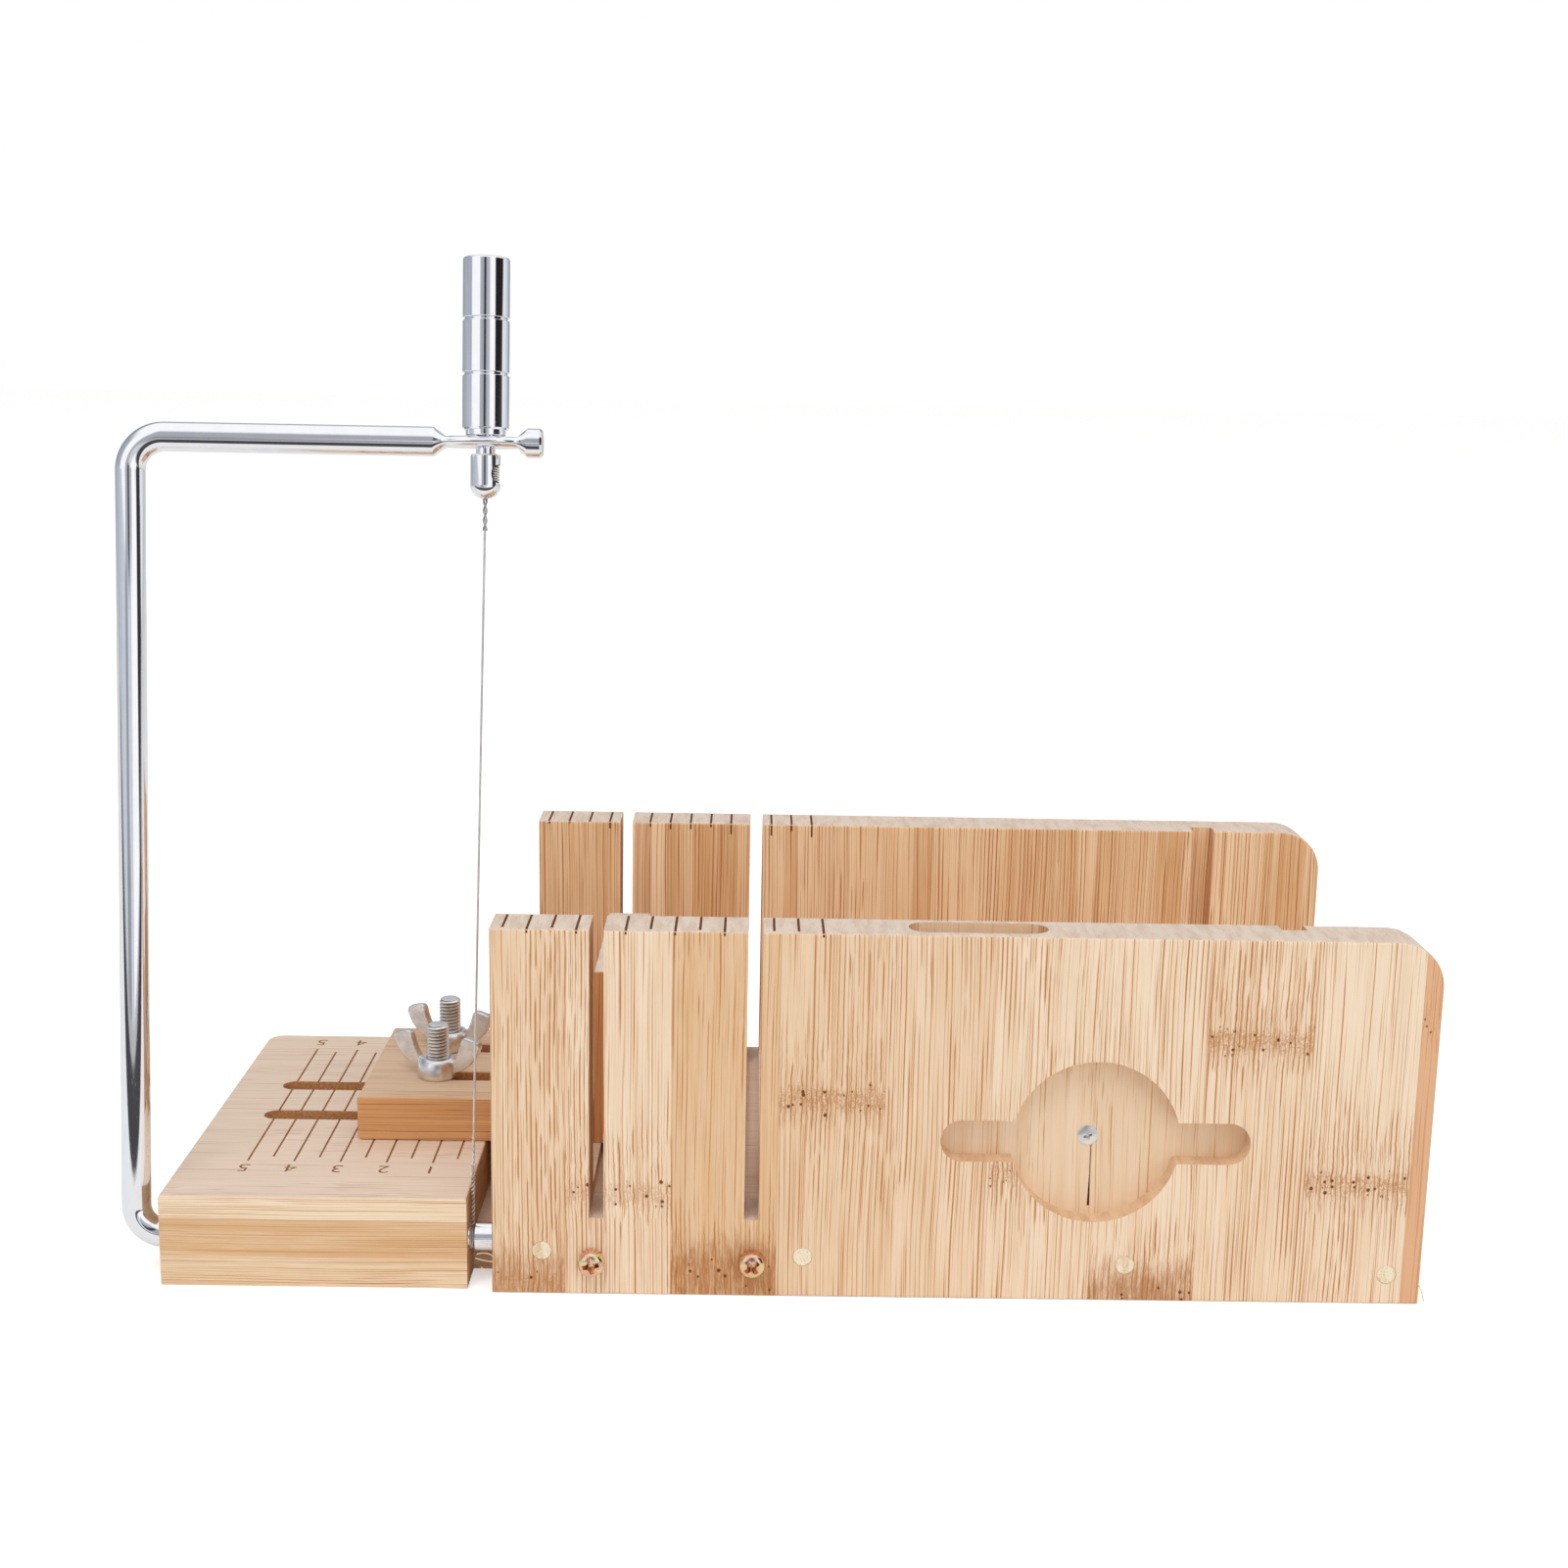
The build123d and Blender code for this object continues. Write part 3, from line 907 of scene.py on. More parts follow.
@dataclass(frozen=True)
class Strip:
    """One glued strip: its sides, its tone and the cane's joint across it."""

    left: float
    right: float
    # The joint's place along the grain, far outside the box where there is none
    height: float = -90.0
    ring: float = 0.0
    smudge: float = 0.0
    tone: float = 0.0


@dataclass(frozen=True)
class Bamboo:
    """A sanded bamboo face, in millimetres."""

    name: str
    grain: Grain
    pale: Colour
    deep: Colour
    fibre: Colour
    # Width of one glued strip, where the first begins and how unevenly wide they are
    lamella: float = 21.9
    shift: float = -4.2
    vary: float = 0.0
    seed: float = 1.0
    # How fast a fibre changes along the grain, in quiet wood and near a joint of the cane
    calm: float = 0.022
    lively: float = 0.085
    cover: float = 0.06
    spread: float = 0.5
    pitch: float = 1.0
    strips: tuple[Strip, ...] = ()
    # Heights where a new layer begins and how much darker it is, and the width of the change
    plies: tuple[Corner, ...] = ()
    seam: float = 0.2
    rough: float = 0.6
    shine: float = 0.22

    def joints(self, net: Net, place: Feed) -> dict[str, Feed]:
        """Lay out the strips that have a tone or a joint of their own.

        Args:
            net: The material's nodes.
            place: The place in millimetres.

        Returns:
            The masks that all strips give together.
        """
        masks: dict[str, Feed] = {"Zones": 0.0, "Rings": 0.0, "Smudges": 0.0, "Tones": 0.0}
        if not self.strips:
            return masks
        across, _, along = net.axes(place)
        ragged = net.noise(net.stretched(place, 0.75, 0.1, 0.16), 1.0, 3.0, 0.75)
        for strip in self.strips:
            joint = net.group(
                "cane_joint", Across=across, Along=along, Ragged=ragged, Left=strip.left, Right=strip.right,
                Height=strip.height, Ring=strip.ring, Smudge=strip.smudge, Tone=strip.tone, **masks,
            )
            masks = dict(joint.outputs.items())
        return masks

    def build(self) -> bpy.types.Material:
        """Build the material.

        Returns:
            The finished material.
        """
        material, net, shader = blank_material(self.name)
        place = millimetres(net, self.grain.value)
        masks = self.joints(net, place)
        tones: Feed = masks["Tones"]
        if self.plies:
            height = net.axes(millimetres(net))[2]
            for level, darker in self.plies:
                above = net.between(height, level - self.seam / 2, level + self.seam / 2)
                tones = net.math("MULTIPLY_ADD", above, darker, tones)
        wood = net.group(
            "bamboo_wood", Place=place, Lamella=self.lamella, Shift=self.shift, Vary=self.vary,
            Seed=self.seed, Long=self.calm, Short=self.lively, Zone=masks["Zones"],
            Cover=self.cover, Spread=self.spread, Tone=tones, Pitch=self.pitch,
            Pale=self.pale, Deep=self.deep, Fibre=self.fibre,
        )
        colour: Feed = wood.outputs["Color"]
        if self.strips:
            colour = self.mark_joints(net, place, masks, colour)
        trace = net.group("handling", Place=place, Rough=self.rough, Swing=0.25)
        colour = net.mix(net.times(trace.outputs["Dust"], 0.1), colour, DUST)
        net.feed(shader.inputs["Base Color"], colour)
        net.feed(shader.inputs["Roughness"], trace.outputs["Roughness"])
        shader.inputs["Specular IOR Level"].default_value = self.shine
        height = net.math("ADD", wood.outputs["Height"], net.times(trace.outputs["Height"], 0.4))
        bumped(net, shader, height, 0.5, 0.06)
        return material

    def mark_joints(self, net: Net, place: Feed, masks: dict[str, Feed], colour: Feed) -> Feed:
        """Colour the rings, smudges and dots of the cane's joints.

        Args:
            net: The material's nodes.
            place: The place in millimetres.
            masks: The strips' masks.
            colour: The wood's colour.

        Returns:
            The colour with its joints.
        """
        ruddy = net.times(net.between(masks["Tones"], 0.7, 1.0), 0.45)
        colour = net.mix(ruddy, colour, RUDDY)
        streaks = net.noise(net.stretched(place, 1.5, 0.1, 0.24), 1.0, 2.0, 0.7)
        streaks = net.between(streaks, 0.36, 0.62)
        smudge = net.times(masks["Smudges"], net.math("MULTIPLY_ADD", streaks, 0.5, 0.35))
        colour = net.mix(smudge, colour, SMUDGE)
        curls = net.noise(net.stretched(place, 1.7, 0.1, 1.1), 1.0, 3.0, 0.75, 1.2)
        ring = net.times(masks["Rings"], net.between(curls, 0.42, 0.6, 0.06, 0.8))
        colour = net.mix(ring, colour, JOINT_RING)
        spots = net.stretched(place, 0.66, 0.0, 0.6)
        cells = net.node("ShaderNodeTexVoronoi", {"Vector": spots, "Scale": 1.0})
        chance = net.node("ShaderNodeSeparateColor", {0: cells.outputs["Color"]}).outputs[0]
        size = net.between(chance, 0.05, 0.8, 0.0, 0.29)
        dots = net.times(net.math("SUBTRACT", size, cells.outputs["Distance"]), 16.0)
        dots = net.times(net.ramp(dots), net.between(masks["Rings"], 0.05, 0.3))
        return net.mix(net.times(dots, 0.95), colour, JOINT_DOT)


@dataclass(frozen=True)
class EndGrain:
    """Sawn and sanded ends of bamboo strips."""

    name: str
    pale: Colour
    deep: Colour
    # Which axes run across, into and along the ends
    axes: tuple[int, int, int] = (0, 1, 2)
    rough: float = 0.72
    shine: float = 0.3

    def build(self) -> bpy.types.Material:
        """Build the material.

        Returns:
            The finished material.
        """
        material, net, shader = blank_material(self.name)
        place = millimetres(net, self.axes)
        ends = net.group("end_grain", Place=place, Pale=self.pale, Deep=self.deep)
        trace = net.group("handling", Place=place, Rough=self.rough, Swing=0.2)
        net.feed(shader.inputs["Base Color"], ends.outputs["Color"])
        net.feed(shader.inputs["Roughness"], trace.outputs["Roughness"])
        shader.inputs["Specular IOR Level"].default_value = self.shine
        bumped(net, shader, ends.outputs["Height"], 0.5, 0.1)
        return material


@dataclass(frozen=True)
class Burnt:
    """Bare wood that a tool tore or an engraver's heat browned; on the slots' walls its darker colour is
    painted shade.
    """

    name: str
    pale: Colour
    deep: Colour
    shine: float = 0.08

    def build(self) -> bpy.types.Material:
        """Build the material.

        Returns:
            The finished material.
        """
        material, net, shader = blank_material(self.name)
        place = millimetres(net)
        char = net.noise(place, 1.6, 4.0, 0.7)
        net.feed(shader.inputs["Base Color"], net.mix(net.between(char, 0.35, 0.65), self.pale, self.deep))
        net.feed(shader.inputs["Roughness"], net.between(char, 0.3, 0.7, 0.7, 0.95))
        shader.inputs["Specular IOR Level"].default_value = self.shine
        bumped(net, shader, char, 0.6, 0.1)
        return material


@dataclass(frozen=True)
class Texture:
    """How a metal's roughness and colour vary, and how uneven it is: grit 0 has scratches alone."""

    swing: float
    drift: float
    grit: float
    strength: float
    reach: float


class Surface(Enum):
    """How a metal is finished."""

    POLISHED = Texture(0.04, 0.25, 0.0, 0.05, 0.01)
    CAST = Texture(0.16, 0.25, 3.2, 0.45, 0.12)
    DRAWN = Texture(0.1, 0.25, 7.0, 0.45, 0.03)
    PLATED = Texture(0.14, 0.55, 7.0, 0.45, 0.03)


@dataclass(frozen=True)
class Metal:
    """A bare or plated metal."""

    name: str
    surface: Surface
    colour: Colour
    tint: Colour
    rough: float

    def build(self) -> bpy.types.Material:
        """Build the material.

        Returns:
            The finished material.
        """
        material, net, shader = blank_material(self.name)
        place = millimetres(net)
        shader.inputs["Metallic"].default_value = 1.0
        texture = self.surface.value
        trace = net.group("handling", Place=place, Rough=self.rough, Swing=texture.swing)
        drift = net.noise(place, texture.drift, 3.0, 0.6)
        colour = net.mix(net.between(drift, 0.4, 0.62), self.colour, self.tint)
        net.feed(shader.inputs["Base Color"], colour)
        net.feed(shader.inputs["Roughness"], trace.outputs["Roughness"])
        height = net.noise(place, texture.grit, 3.0, 0.65) if texture.grit else trace.outputs["Height"]
        bumped(net, shader, height, texture.strength, texture.reach)
        return material


Finish = Union[Bamboo, EndGrain, Burnt, Metal]


@dataclass
class Palette:
    """Every finish of the cutter, built on first use."""

    built: dict[str, bpy.types.Material] = field(default_factory=dict)

    def get(self, finish: Finish) -> bpy.types.Material:
        """Build a finish once.

        Args:
            finish: The finish.

        Returns:
            Its material.
        """
        if finish.name not in self.built:
            self.built[finish.name] = finish.build()
        return self.built[finish.name]


DUST = srgb(244, 232, 214)
RUDDY = srgb(238, 178, 140)
SMUDGE = srgb(184, 122, 72)
JOINT_RING = srgb(196, 136, 84)
JOINT_DOT = srgb(116, 62, 24)
PALE = srgb(254, 231, 203)
DEEP = srgb(235, 194, 149)
FIBRE = srgb(195, 128, 68)

WALL_FACE = Bamboo(
    "near_wall_outside", Grain.UPRIGHT, PALE, DEEP, FIBRE, seed=3.0, spread=0.0,
    strips=(
        Strip(-4.2, 17.7, 3.0, 0.8, 0.75, 0.05), Strip(17.7, 39.6, 23.0, 0.6, 0.0, -0.22),
        Strip(39.6, 61.5, 5.0, 0.5, 1.0, 0.45), Strip(61.5, 83.4, 44.0, 1.0, 0.12, 0.1),
        Strip(83.4, 105.3), Strip(105.3, 127.2, 29.0, 0.6, 0.1, -0.2),
        Strip(127.2, 149.1, 1.5, 0.5, 0.9, -0.25), Strip(149.1, 171.0, 58.0, 1.0, 0.15, -0.15),
        Strip(171.0, 192.9, 27.0, 1.0, 0.12, -0.3), Strip(192.9, 215.0, 63.0, 0.3, 0.0, 1.0),
    ),
)
FAR_WALL_FACE = Bamboo(
    "far_wall_outside", Grain.UPRIGHT, PALE, DEEP, FIBRE, shift=5.0, seed=11.0, spread=0.4,
    strips=(
        Strip(5.0, 26.8, 36.0, 0.8, 0.2), Strip(48.6, 70.4, 14.0, 0.9, 0.6),
        Strip(92.2, 114.0, 51.0, 0.7, 0.1), Strip(135.8, 157.6, 9.0, 0.8, 0.9),
        Strip(157.6, 179.4, 62.0, 0.9, 0.2),
    ),
)
# Warmer and more orange than the outer faces, partly the wood's own colour and partly painted shade and warm
# bounce light between the walls.
WALL_INSIDE = Bamboo(
    "wall_inside", Grain.UPRIGHT, srgb(254, 222, 182), srgb(228, 178, 128), srgb(182, 114, 62),
    lamella=5.2, shift=1.2, vary=14.0, seed=7.0, calm=0.006, lively=0.02, cover=0.07, spread=1.0, pitch=0.9,
)
WALL_END = Bamboo(
    "wall_cut_side", Grain.UPRIGHT_ACROSS, srgb(240, 206, 170), srgb(214, 164, 118), srgb(190, 126, 80),
    lamella=5.8, shift=0.4, vary=4.0, seed=17.0, calm=0.01, lively=0.04, spread=0.8, pitch=0.8,
)
RECESS_FLOOR = Bamboo(
    "recess_floor", Grain.UPRIGHT, srgb(250, 224, 194), srgb(232, 196, 156), srgb(206, 158, 112),
    seed=23.0, calm=0.02, cover=-0.06, spread=0.4, pitch=0.9,
)
# Greyer and less saturated than the board's sides, partly the top's own colour and partly a painted whitish
# sheen.
BOARD_TOP = Bamboo(
    "board_top", Grain.LENGTHWISE_FLAT, srgb(244, 222, 202), srgb(226, 200, 178), srgb(202, 168, 138),
    lamella=18.0, shift=2.0, seed=29.0, calm=0.02, cover=-0.06, spread=0.3, pitch=0.9, rough=0.5,
)
BOARD_SIDE = Bamboo(
    "board_side", Grain.LENGTHWISE_EDGE, srgb(255, 234, 204), srgb(231, 188, 142), srgb(200, 142, 90),
    lamella=6.9, shift=0.9, seed=31.0, calm=0.012, lively=0.03, cover=0.02, spread=0.2, pitch=0.5,
    plies=((6.6, 0.5), (14.8, -0.7)),
)
BAR_SIDE = Bamboo(
    "bar_side", Grain.LENGTHWISE_EDGE, srgb(232, 178, 124), srgb(206, 144, 92), srgb(168, 106, 60),
    lamella=5.0, shift=0.2, seed=37.0, calm=0.012, lively=0.03, cover=0.0, pitch=0.55,
)
BAR_TOP = Bamboo(
    "bar_top", Grain.LENGTHWISE_FLAT, srgb(232, 202, 172), srgb(212, 174, 138), srgb(186, 138, 98),
    lamella=16.0, shift=-5.0, seed=41.0, calm=0.015, cover=0.02, spread=0.3, pitch=0.8, rough=0.48,
)
PLATE_SIDE = Bamboo(
    "plate_side", Grain.UPRIGHT, srgb(226, 172, 120), srgb(196, 138, 88), srgb(160, 100, 58),
    lamella=5.0, shift=1.0, seed=43.0, calm=0.012, lively=0.04, pitch=0.7,
)
PLATE_FACE = Bamboo(
    "plate_face", Grain.UPRIGHT_ACROSS, srgb(232, 190, 146), srgb(206, 156, 110), srgb(170, 116, 72),
    lamella=8.0, shift=1.0, seed=47.0, calm=0.015, lively=0.05, pitch=0.8,
)
# The slots' walls, darker and browner than the board: painted shade inside the slots.
SHADED_SLOT_WALL = Burnt("slot_wall_painted_shade", srgb(226, 172, 122), srgb(196, 138, 88))
RECESS_RIM = EndGrain("recess_rim", srgb(238, 206, 172), srgb(204, 162, 122))
WALL_TOP = EndGrain("wall_top", srgb(238, 220, 204), srgb(204, 176, 152))
BOARD_END = EndGrain("board_end", srgb(214, 174, 134), srgb(170, 122, 82), (2, 1, 0))
BURNT = Burnt("scale_line", srgb(134, 82, 54), srgb(98, 56, 36))
BURNT_DIGIT = Burnt("scale_digit", srgb(178, 122, 88), srgb(140, 88, 58))
DOWEL_END = EndGrain("dowel_end", srgb(255, 242, 214), srgb(206, 158, 104), (0, 2, 1))
CHROME = Metal("chrome", Surface.POLISHED, srgb(248, 249, 252), srgb(244, 246, 250), 0.05)
TORN = Burnt("torn_fibre", srgb(248, 228, 200), srgb(232, 196, 154))
# Dark grey metal in the hook's notch and its hollow: painted shade where the chrome would mirror the bright
# room.
SHADED_HOLLOW = Metal("hollow_painted_shade", Surface.CAST, srgb(120, 114, 110), srgb(84, 78, 75), 0.45)
STEEL = Metal("cast_steel", Surface.CAST, srgb(238, 237, 237), srgb(218, 216, 215), 0.17)
THREAD_ROOT = Metal("thread_root", Surface.DRAWN, srgb(136, 130, 124), srgb(104, 98, 92), 0.5)
BOLT_STEEL = Metal("rolled_steel", Surface.DRAWN, srgb(250, 249, 248), srgb(236, 235, 233), 0.36)
LEADER_STEEL = Metal("leader_steel", Surface.DRAWN, srgb(236, 233, 230), srgb(192, 186, 181), 0.4)
# A darker copy of the wire's steel for the upper twist: painted shade.
TWIST_STEEL = Metal("twist_steel", Surface.DRAWN, srgb(196, 192, 188), srgb(128, 122, 116), 0.34)
WIRE_STEEL = Metal("wire_steel", Surface.DRAWN, srgb(246, 244, 244), srgb(228, 226, 227), 0.42)
YELLOW_ZINC = Metal("yellow_zinc", Surface.PLATED, srgb(240, 226, 176), srgb(238, 186, 172), 0.14)
BRIGHT_ZINC = Metal("bright_zinc", Surface.PLATED, srgb(244, 243, 242), srgb(224, 224, 226), 0.32)

PALETTE = Palette()


def dress(
    piece: Piece,
    finishes: Sequence[Finish],
    which: Callable[[Vector, Vector], int | None] | None = None,
) -> None:
    """Give a piece its finishes.

    Args:
        piece: The mesh object.
        finishes: Its finishes; one alone covers the whole piece.
        which: Gives the finish's number from a face's middle in millimetres and
            its normal, or None to leave the face as it is.
    """
    if which is None:
        piece.data.materials.clear()
    first = len(piece.data.materials)
    for finish in finishes:
        piece.data.materials.append(PALETTE.get(finish))
    if which is None:
        for face in piece.data.polygons:
            face.material_index = 0
        return
    for face in piece.data.polygons:
        number = which(face.center / MM, face.normal)
        if number is not None:
            face.material_index = first + number


def facing(normal: Vector, flat: int, end: int, side: int) -> int:
    """Choose a number by the way that a face looks.

    Args:
        normal: The face's normal.
        flat: The number if it looks up or down.
        end: The number if it looks along X.
        side: The number otherwise.

    Returns:
        The number.
    """
    if abs(normal.z) > LEVEL:
        return flat
    return end if abs(normal.x) > SQUARE else side


def place_piece(piece: Piece, body: str, slot: str, *nodes: str) -> None:
    """Hang a finished piece on its body and report it.

    Args:
        piece: The finished piece.
        body: The body that it moves with.
        slot: Not used.
        nodes: The solids that it stands for.
    """
    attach(piece, body)
    if nodes:
        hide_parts(*nodes)
    LOG.info("%s rides on %s with %d faces", piece.name, body, len(piece.data.polygons))


# The box


@dataclass
class Walls:
    """The two upright walls with their engraved scales, in millimetres."""

    outer_face: float = 55.5
    inner_face: float = 43.5
    top: float = 79.0
    division: float = 5.0
    count: int = 14
    line_width: float = 0.52
    line_depth: float = 0.16
    short_by: float = 1.2
    long_lines: tuple[int, ...] = (2, 4, 6, 8, 10, 14)
    near_tail: float = 0.7
    # Each line of the far wall that runs down its inner face, and how far
    tails: tuple[tuple[int, float], ...] = (
        (1, 0.6), (2, 0.5), (4, 1.6), (6, 1.0), (7, 1.6), (8, 1.5),
        (9, 0.9), (10, 2.6), (12, 2.8), (13, 1.6), (14, 3.0),
    )
    tail_width: float = 0.416
    tail_depth: float = 0.12
    # Left, low, right and high end of the recess with its finger slots
    recess_box: tuple[float, float, float, float] = (84.0, 17.0, 162.0, 53.0)
    recess_floor: float = 4.5
    # How much deeper than either face the floor of the recess is
    skin: float = 1.5
    inner_skin: float = 2.0
    # The crack's place, lower end and upper end
    crack: Point = (127.0, 19.4, 26.5)
    crack_half: float = 0.26
    crack_share: float = 0.3
    crack_depth: float = 0.7
    hairline_end: float = 33.4
    hairline_half: float = 0.09
    hairline_depth: float = 0.1

    def build(self) -> None:
        """Build both walls."""
        self.wall("near_wall", -1, WALL_FACE)
        self.wall("far_wall", 1, FAR_WALL_FACE)

    def blades(self, side: int) -> Piece:
        """Make the shape that engraves the lines in one wall's top.

        Args:
            side: -1 for the near wall and 1 for the far wall.

        Returns:
            The cutter with the scorched finish.
        """
        blades = []
        half = self.line_width / 2
        floor, above = self.top - self.line_depth, self.top + OVERRUN
        for number in range(1, self.count + 1):
            place = number * self.division
            short = side < 0 and number not in self.long_lines
            outer = self.outer_face - self.short_by if short else self.outer_face + OVERRUN
            near, far = sorted((side * outer, side * (self.inner_face - OVERRUN)))
            blades.append(block("blade", (place - half, near, floor), (place + half, far, above)))
        cutter = joined("scale", blades)
        dress(cutter, [BURNT])
        return cutter

    def tail_blades(self, side: int) -> Piece:
        """Make the shape of the short tails where lines run over the edge.

        Args:
            side: -1 for the near wall and 1 for the far wall.

        Returns:
            The cutter with the scorched finish.
        """
        blades = []
        half = self.tail_width / 2
        tails = self.tails if side > 0 else [(number, self.near_tail) for number in self.long_lines]
        face = self.inner_face if side > 0 else -self.outer_face
        for number, length in tails:
            place = number * self.division
            low = (place - half, face - OVERRUN, self.top - self.line_depth - length)
            blades.append(block("tail", low, (place + half, face + self.tail_depth, self.top + OVERRUN)))
        cutter = joined("tails", blades)
        dress(cutter, [BURNT])
        return cutter

    def wall(self, node: str, side: int, face_finish: Bamboo) -> None:
        """Build one wall from its solid.

        Args:
            node: The solid's name.
            side: -1 near and 1 far.
            face_finish: The finish of its outer face.
        """
        wall = node_copy(node, node + "_engraved")
        finishes = [face_finish, WALL_INSIDE, WALL_END, WALL_TOP, RECESS_FLOOR, RECESS_RIM]
        left, low, right, high = self.recess_box

        def which(middle: Vector, normal: Vector) -> int:
            """Give the number of one face's finish.

            Args:
                middle: The face's middle in millimetres.
                normal: Its normal.

            Returns:
                The number.
            """
            depth = self.outer_face - middle.y * side
            near_recess = side < 0 and left < middle.x < right and low < middle.z < high
            if near_recess and abs(normal.y) < 0.5 and abs(middle.y) > self.inner_face + OVERRUN:
                return 5
            if abs(normal.z) > LEVEL:
                return 3
            if abs(normal.x) > LEVEL:
                return 2
            if normal.y * side <= 0:
                return 1
            return 4 if self.skin < depth < self.outer_face - self.inner_face - self.inner_skin else 0

        dress(wall, finishes, which)
        cut(wall, self.blades(side))
        cut(wall, self.tail_blades(side))
        if side < 0:
            cut(wall, self.crack_cutter())
        smooth(wall, 30)
        place_piece(wall, "base", "bamboo", node)

    def crack_cutter(self) -> Piece:
        """Make the wedge and the fine line of the crack below the small screw.

        Returns:
            The cutter, with the dark brown finish of the engraved lines.
        """
        place, low, high = self.crack
        floor = self.recess_floor - self.outer_face
        half, fine = self.crack_half, self.hairline_half
        corner = (place + half, floor + self.crack_depth, high)
        wedge = block("crack", (place - half, floor - OVERRUN, low), corner)
        with editing(wedge, whole=False):
            choose(wedge, lambda corner: corner.z > (low + high) / 2)
            middle = Vector((place, floor, high)) * MM
            bpy.ops.transform.resize(value=(self.crack_share, 1, 1), center_override=middle)
        foot = (place - fine, floor - OVERRUN, high + self.hairline_depth)
        hair = block("hairline", foot, (place + fine, floor + self.hairline_depth, self.hairline_end))
        cutter = joined("cracks", [wedge, hair])
        dress(cutter, [BURNT])
        return cutter


@dataclass
class MeasuringBoard:
    """The base with its measuring board, in millimetres."""

    top: float = 20.0
    step: float = 5.0
    zero: float = -2.9
    count: int = 10
    line_width: float = 0.45
    line_depth: float = 0.12
    long_reach: Corner = (-34.0, 40.0)
    short_reach: Corner = (-31.5, 38.0)
    digit_rows: Corner = (-39.8, 43.4)
    digit_height: float = 4.1
    digit_share: float = 0.72
    digit_thinning: float = 0.02
    slot_rows: Corner = (-6.0, 13.5)
    slot_half: float = 4.6
    slot_ends: Corner = (-57.5, -6.0)

    def build(self) -> None:
        """Build the board from its solid."""
        board = node_copy("base_board", "base_board_engraved")
        left, right = self.slot_ends

        def which(middle: Vector, normal: Vector) -> int:
            """Give the number of one face's finish.

            Args:
                middle: The face's middle in millimetres.
                normal: Its normal.

            Returns:
                The number.
            """
            in_slot = any(abs(middle.y - row) < self.slot_half for row in self.slot_rows)
            # Faces inside the slots take the slot walls' painted shade.
            if in_slot and left < middle.x < right and HAIR < middle.z < self.top - HAIR:
                return 3
            return facing(normal, 0, 2, 1)

        dress(board, [BOARD_TOP, BOARD_SIDE, BOARD_END, SHADED_SLOT_WALL], which)
        cut(board, self.line_cutter())
        cut(board, self.digit_cutter())
        smooth(board, 30)
        place_piece(board, "base", "bamboo", "base_board")

    def line_cutter(self) -> Piece:
        """Make the shape that engraves the board's lines.

        Returns:
            The cutter with the scorched finish.
        """
        blades = []
        half = self.line_width / 2
        floor, above = self.top - self.line_depth, self.top + OVERRUN
        for number in range(1, self.count + 1):
            place = self.zero - number * self.step
            near, far = self.short_reach if number % 2 else self.long_reach
            blades.append(block("blade", (place - half, near, floor), (place + half, far, above)))
        cutter = joined("lines", blades)
        dress(cutter, [BURNT_DIGIT])
        return cutter

    def digit_cutter(self) -> Piece:
        """Make the shape that engraves the digits, which read from the far side.

        Returns:
            The cutter with the scorched finish.
        """
        digits = []
        height = self.top - self.line_depth + OVERRUN
        for number in range(1, self.count // 2 + 1):
            for row in self.digit_rows:
                middle = (self.zero - number * 2 * self.step, row + self.digit_height / 2, height)
                bpy.ops.object.text_add(location=Vector(middle) * MM, rotation=(0, 0, math.pi))
                text = bpy.context.object
                text.data.body = str(number)
                text.data.size = self.digit_height / self.digit_share * MM
                text.data.align_x = "CENTER"
                text.data.align_y = "CENTER"
                text.data.extrude = OVERRUN * MM
                text.data.offset = -self.digit_thinning * MM
                text.data.resolution_u = 4
                pick(text)
                bpy.ops.object.convert(target="MESH")
                digits.append(named_new("digit"))
        cutter = joined("digits", digits)
        with editing(cutter):
            weld()
        dress(cutter, [BURNT_DIGIT])
        return cutter


@dataclass(frozen=True)
class CrossRecess:
    """The cross in a screw's head, in millimetres."""

    reach: float
    width: float
    depth: float
    foot_share: float = 0.35
    over: float = 0.6
    # Shares of the width, of the depth and of the width again
    socket: Point = (0.55, 0.8, 0.95)

    def cutter(self, top: float) -> Piece:
        """Make the shape that cuts the cross, narrower below.

        Args:
            top: Height of the head's top.

        Returns:
            The cutter, upright on the axis.
        """
        floor, high = top - self.depth, top + self.over
        bars = []
        for long, wide in ((self.reach / 2, self.width / 2), (self.width / 2, self.reach / 2)):
            bar = block("bar", (-long, -wide, floor), (long, wide, high))
            with editing(bar, whole=False):
                choose(bar, lambda corner: corner.z < (floor + top) / 2)
                share = self.foot_share
                bpy.ops.transform.resize(value=(share, share, 1), center_override=(0, 0, floor * MM))
            bars.append(bar)
        narrow, rise, wide = self.socket
        knee = (self.width * narrow, top - self.depth * rise)
        middle = turned("socket", ((0, floor), knee, (self.width * wide, high), (0, high)), 24)
        for part in (bars[1], middle):
            modified(bars[0], "BOOLEAN", operation="UNION", object=part, solver="EXACT")
            bpy.data.objects.remove(part)
        return bars[0]


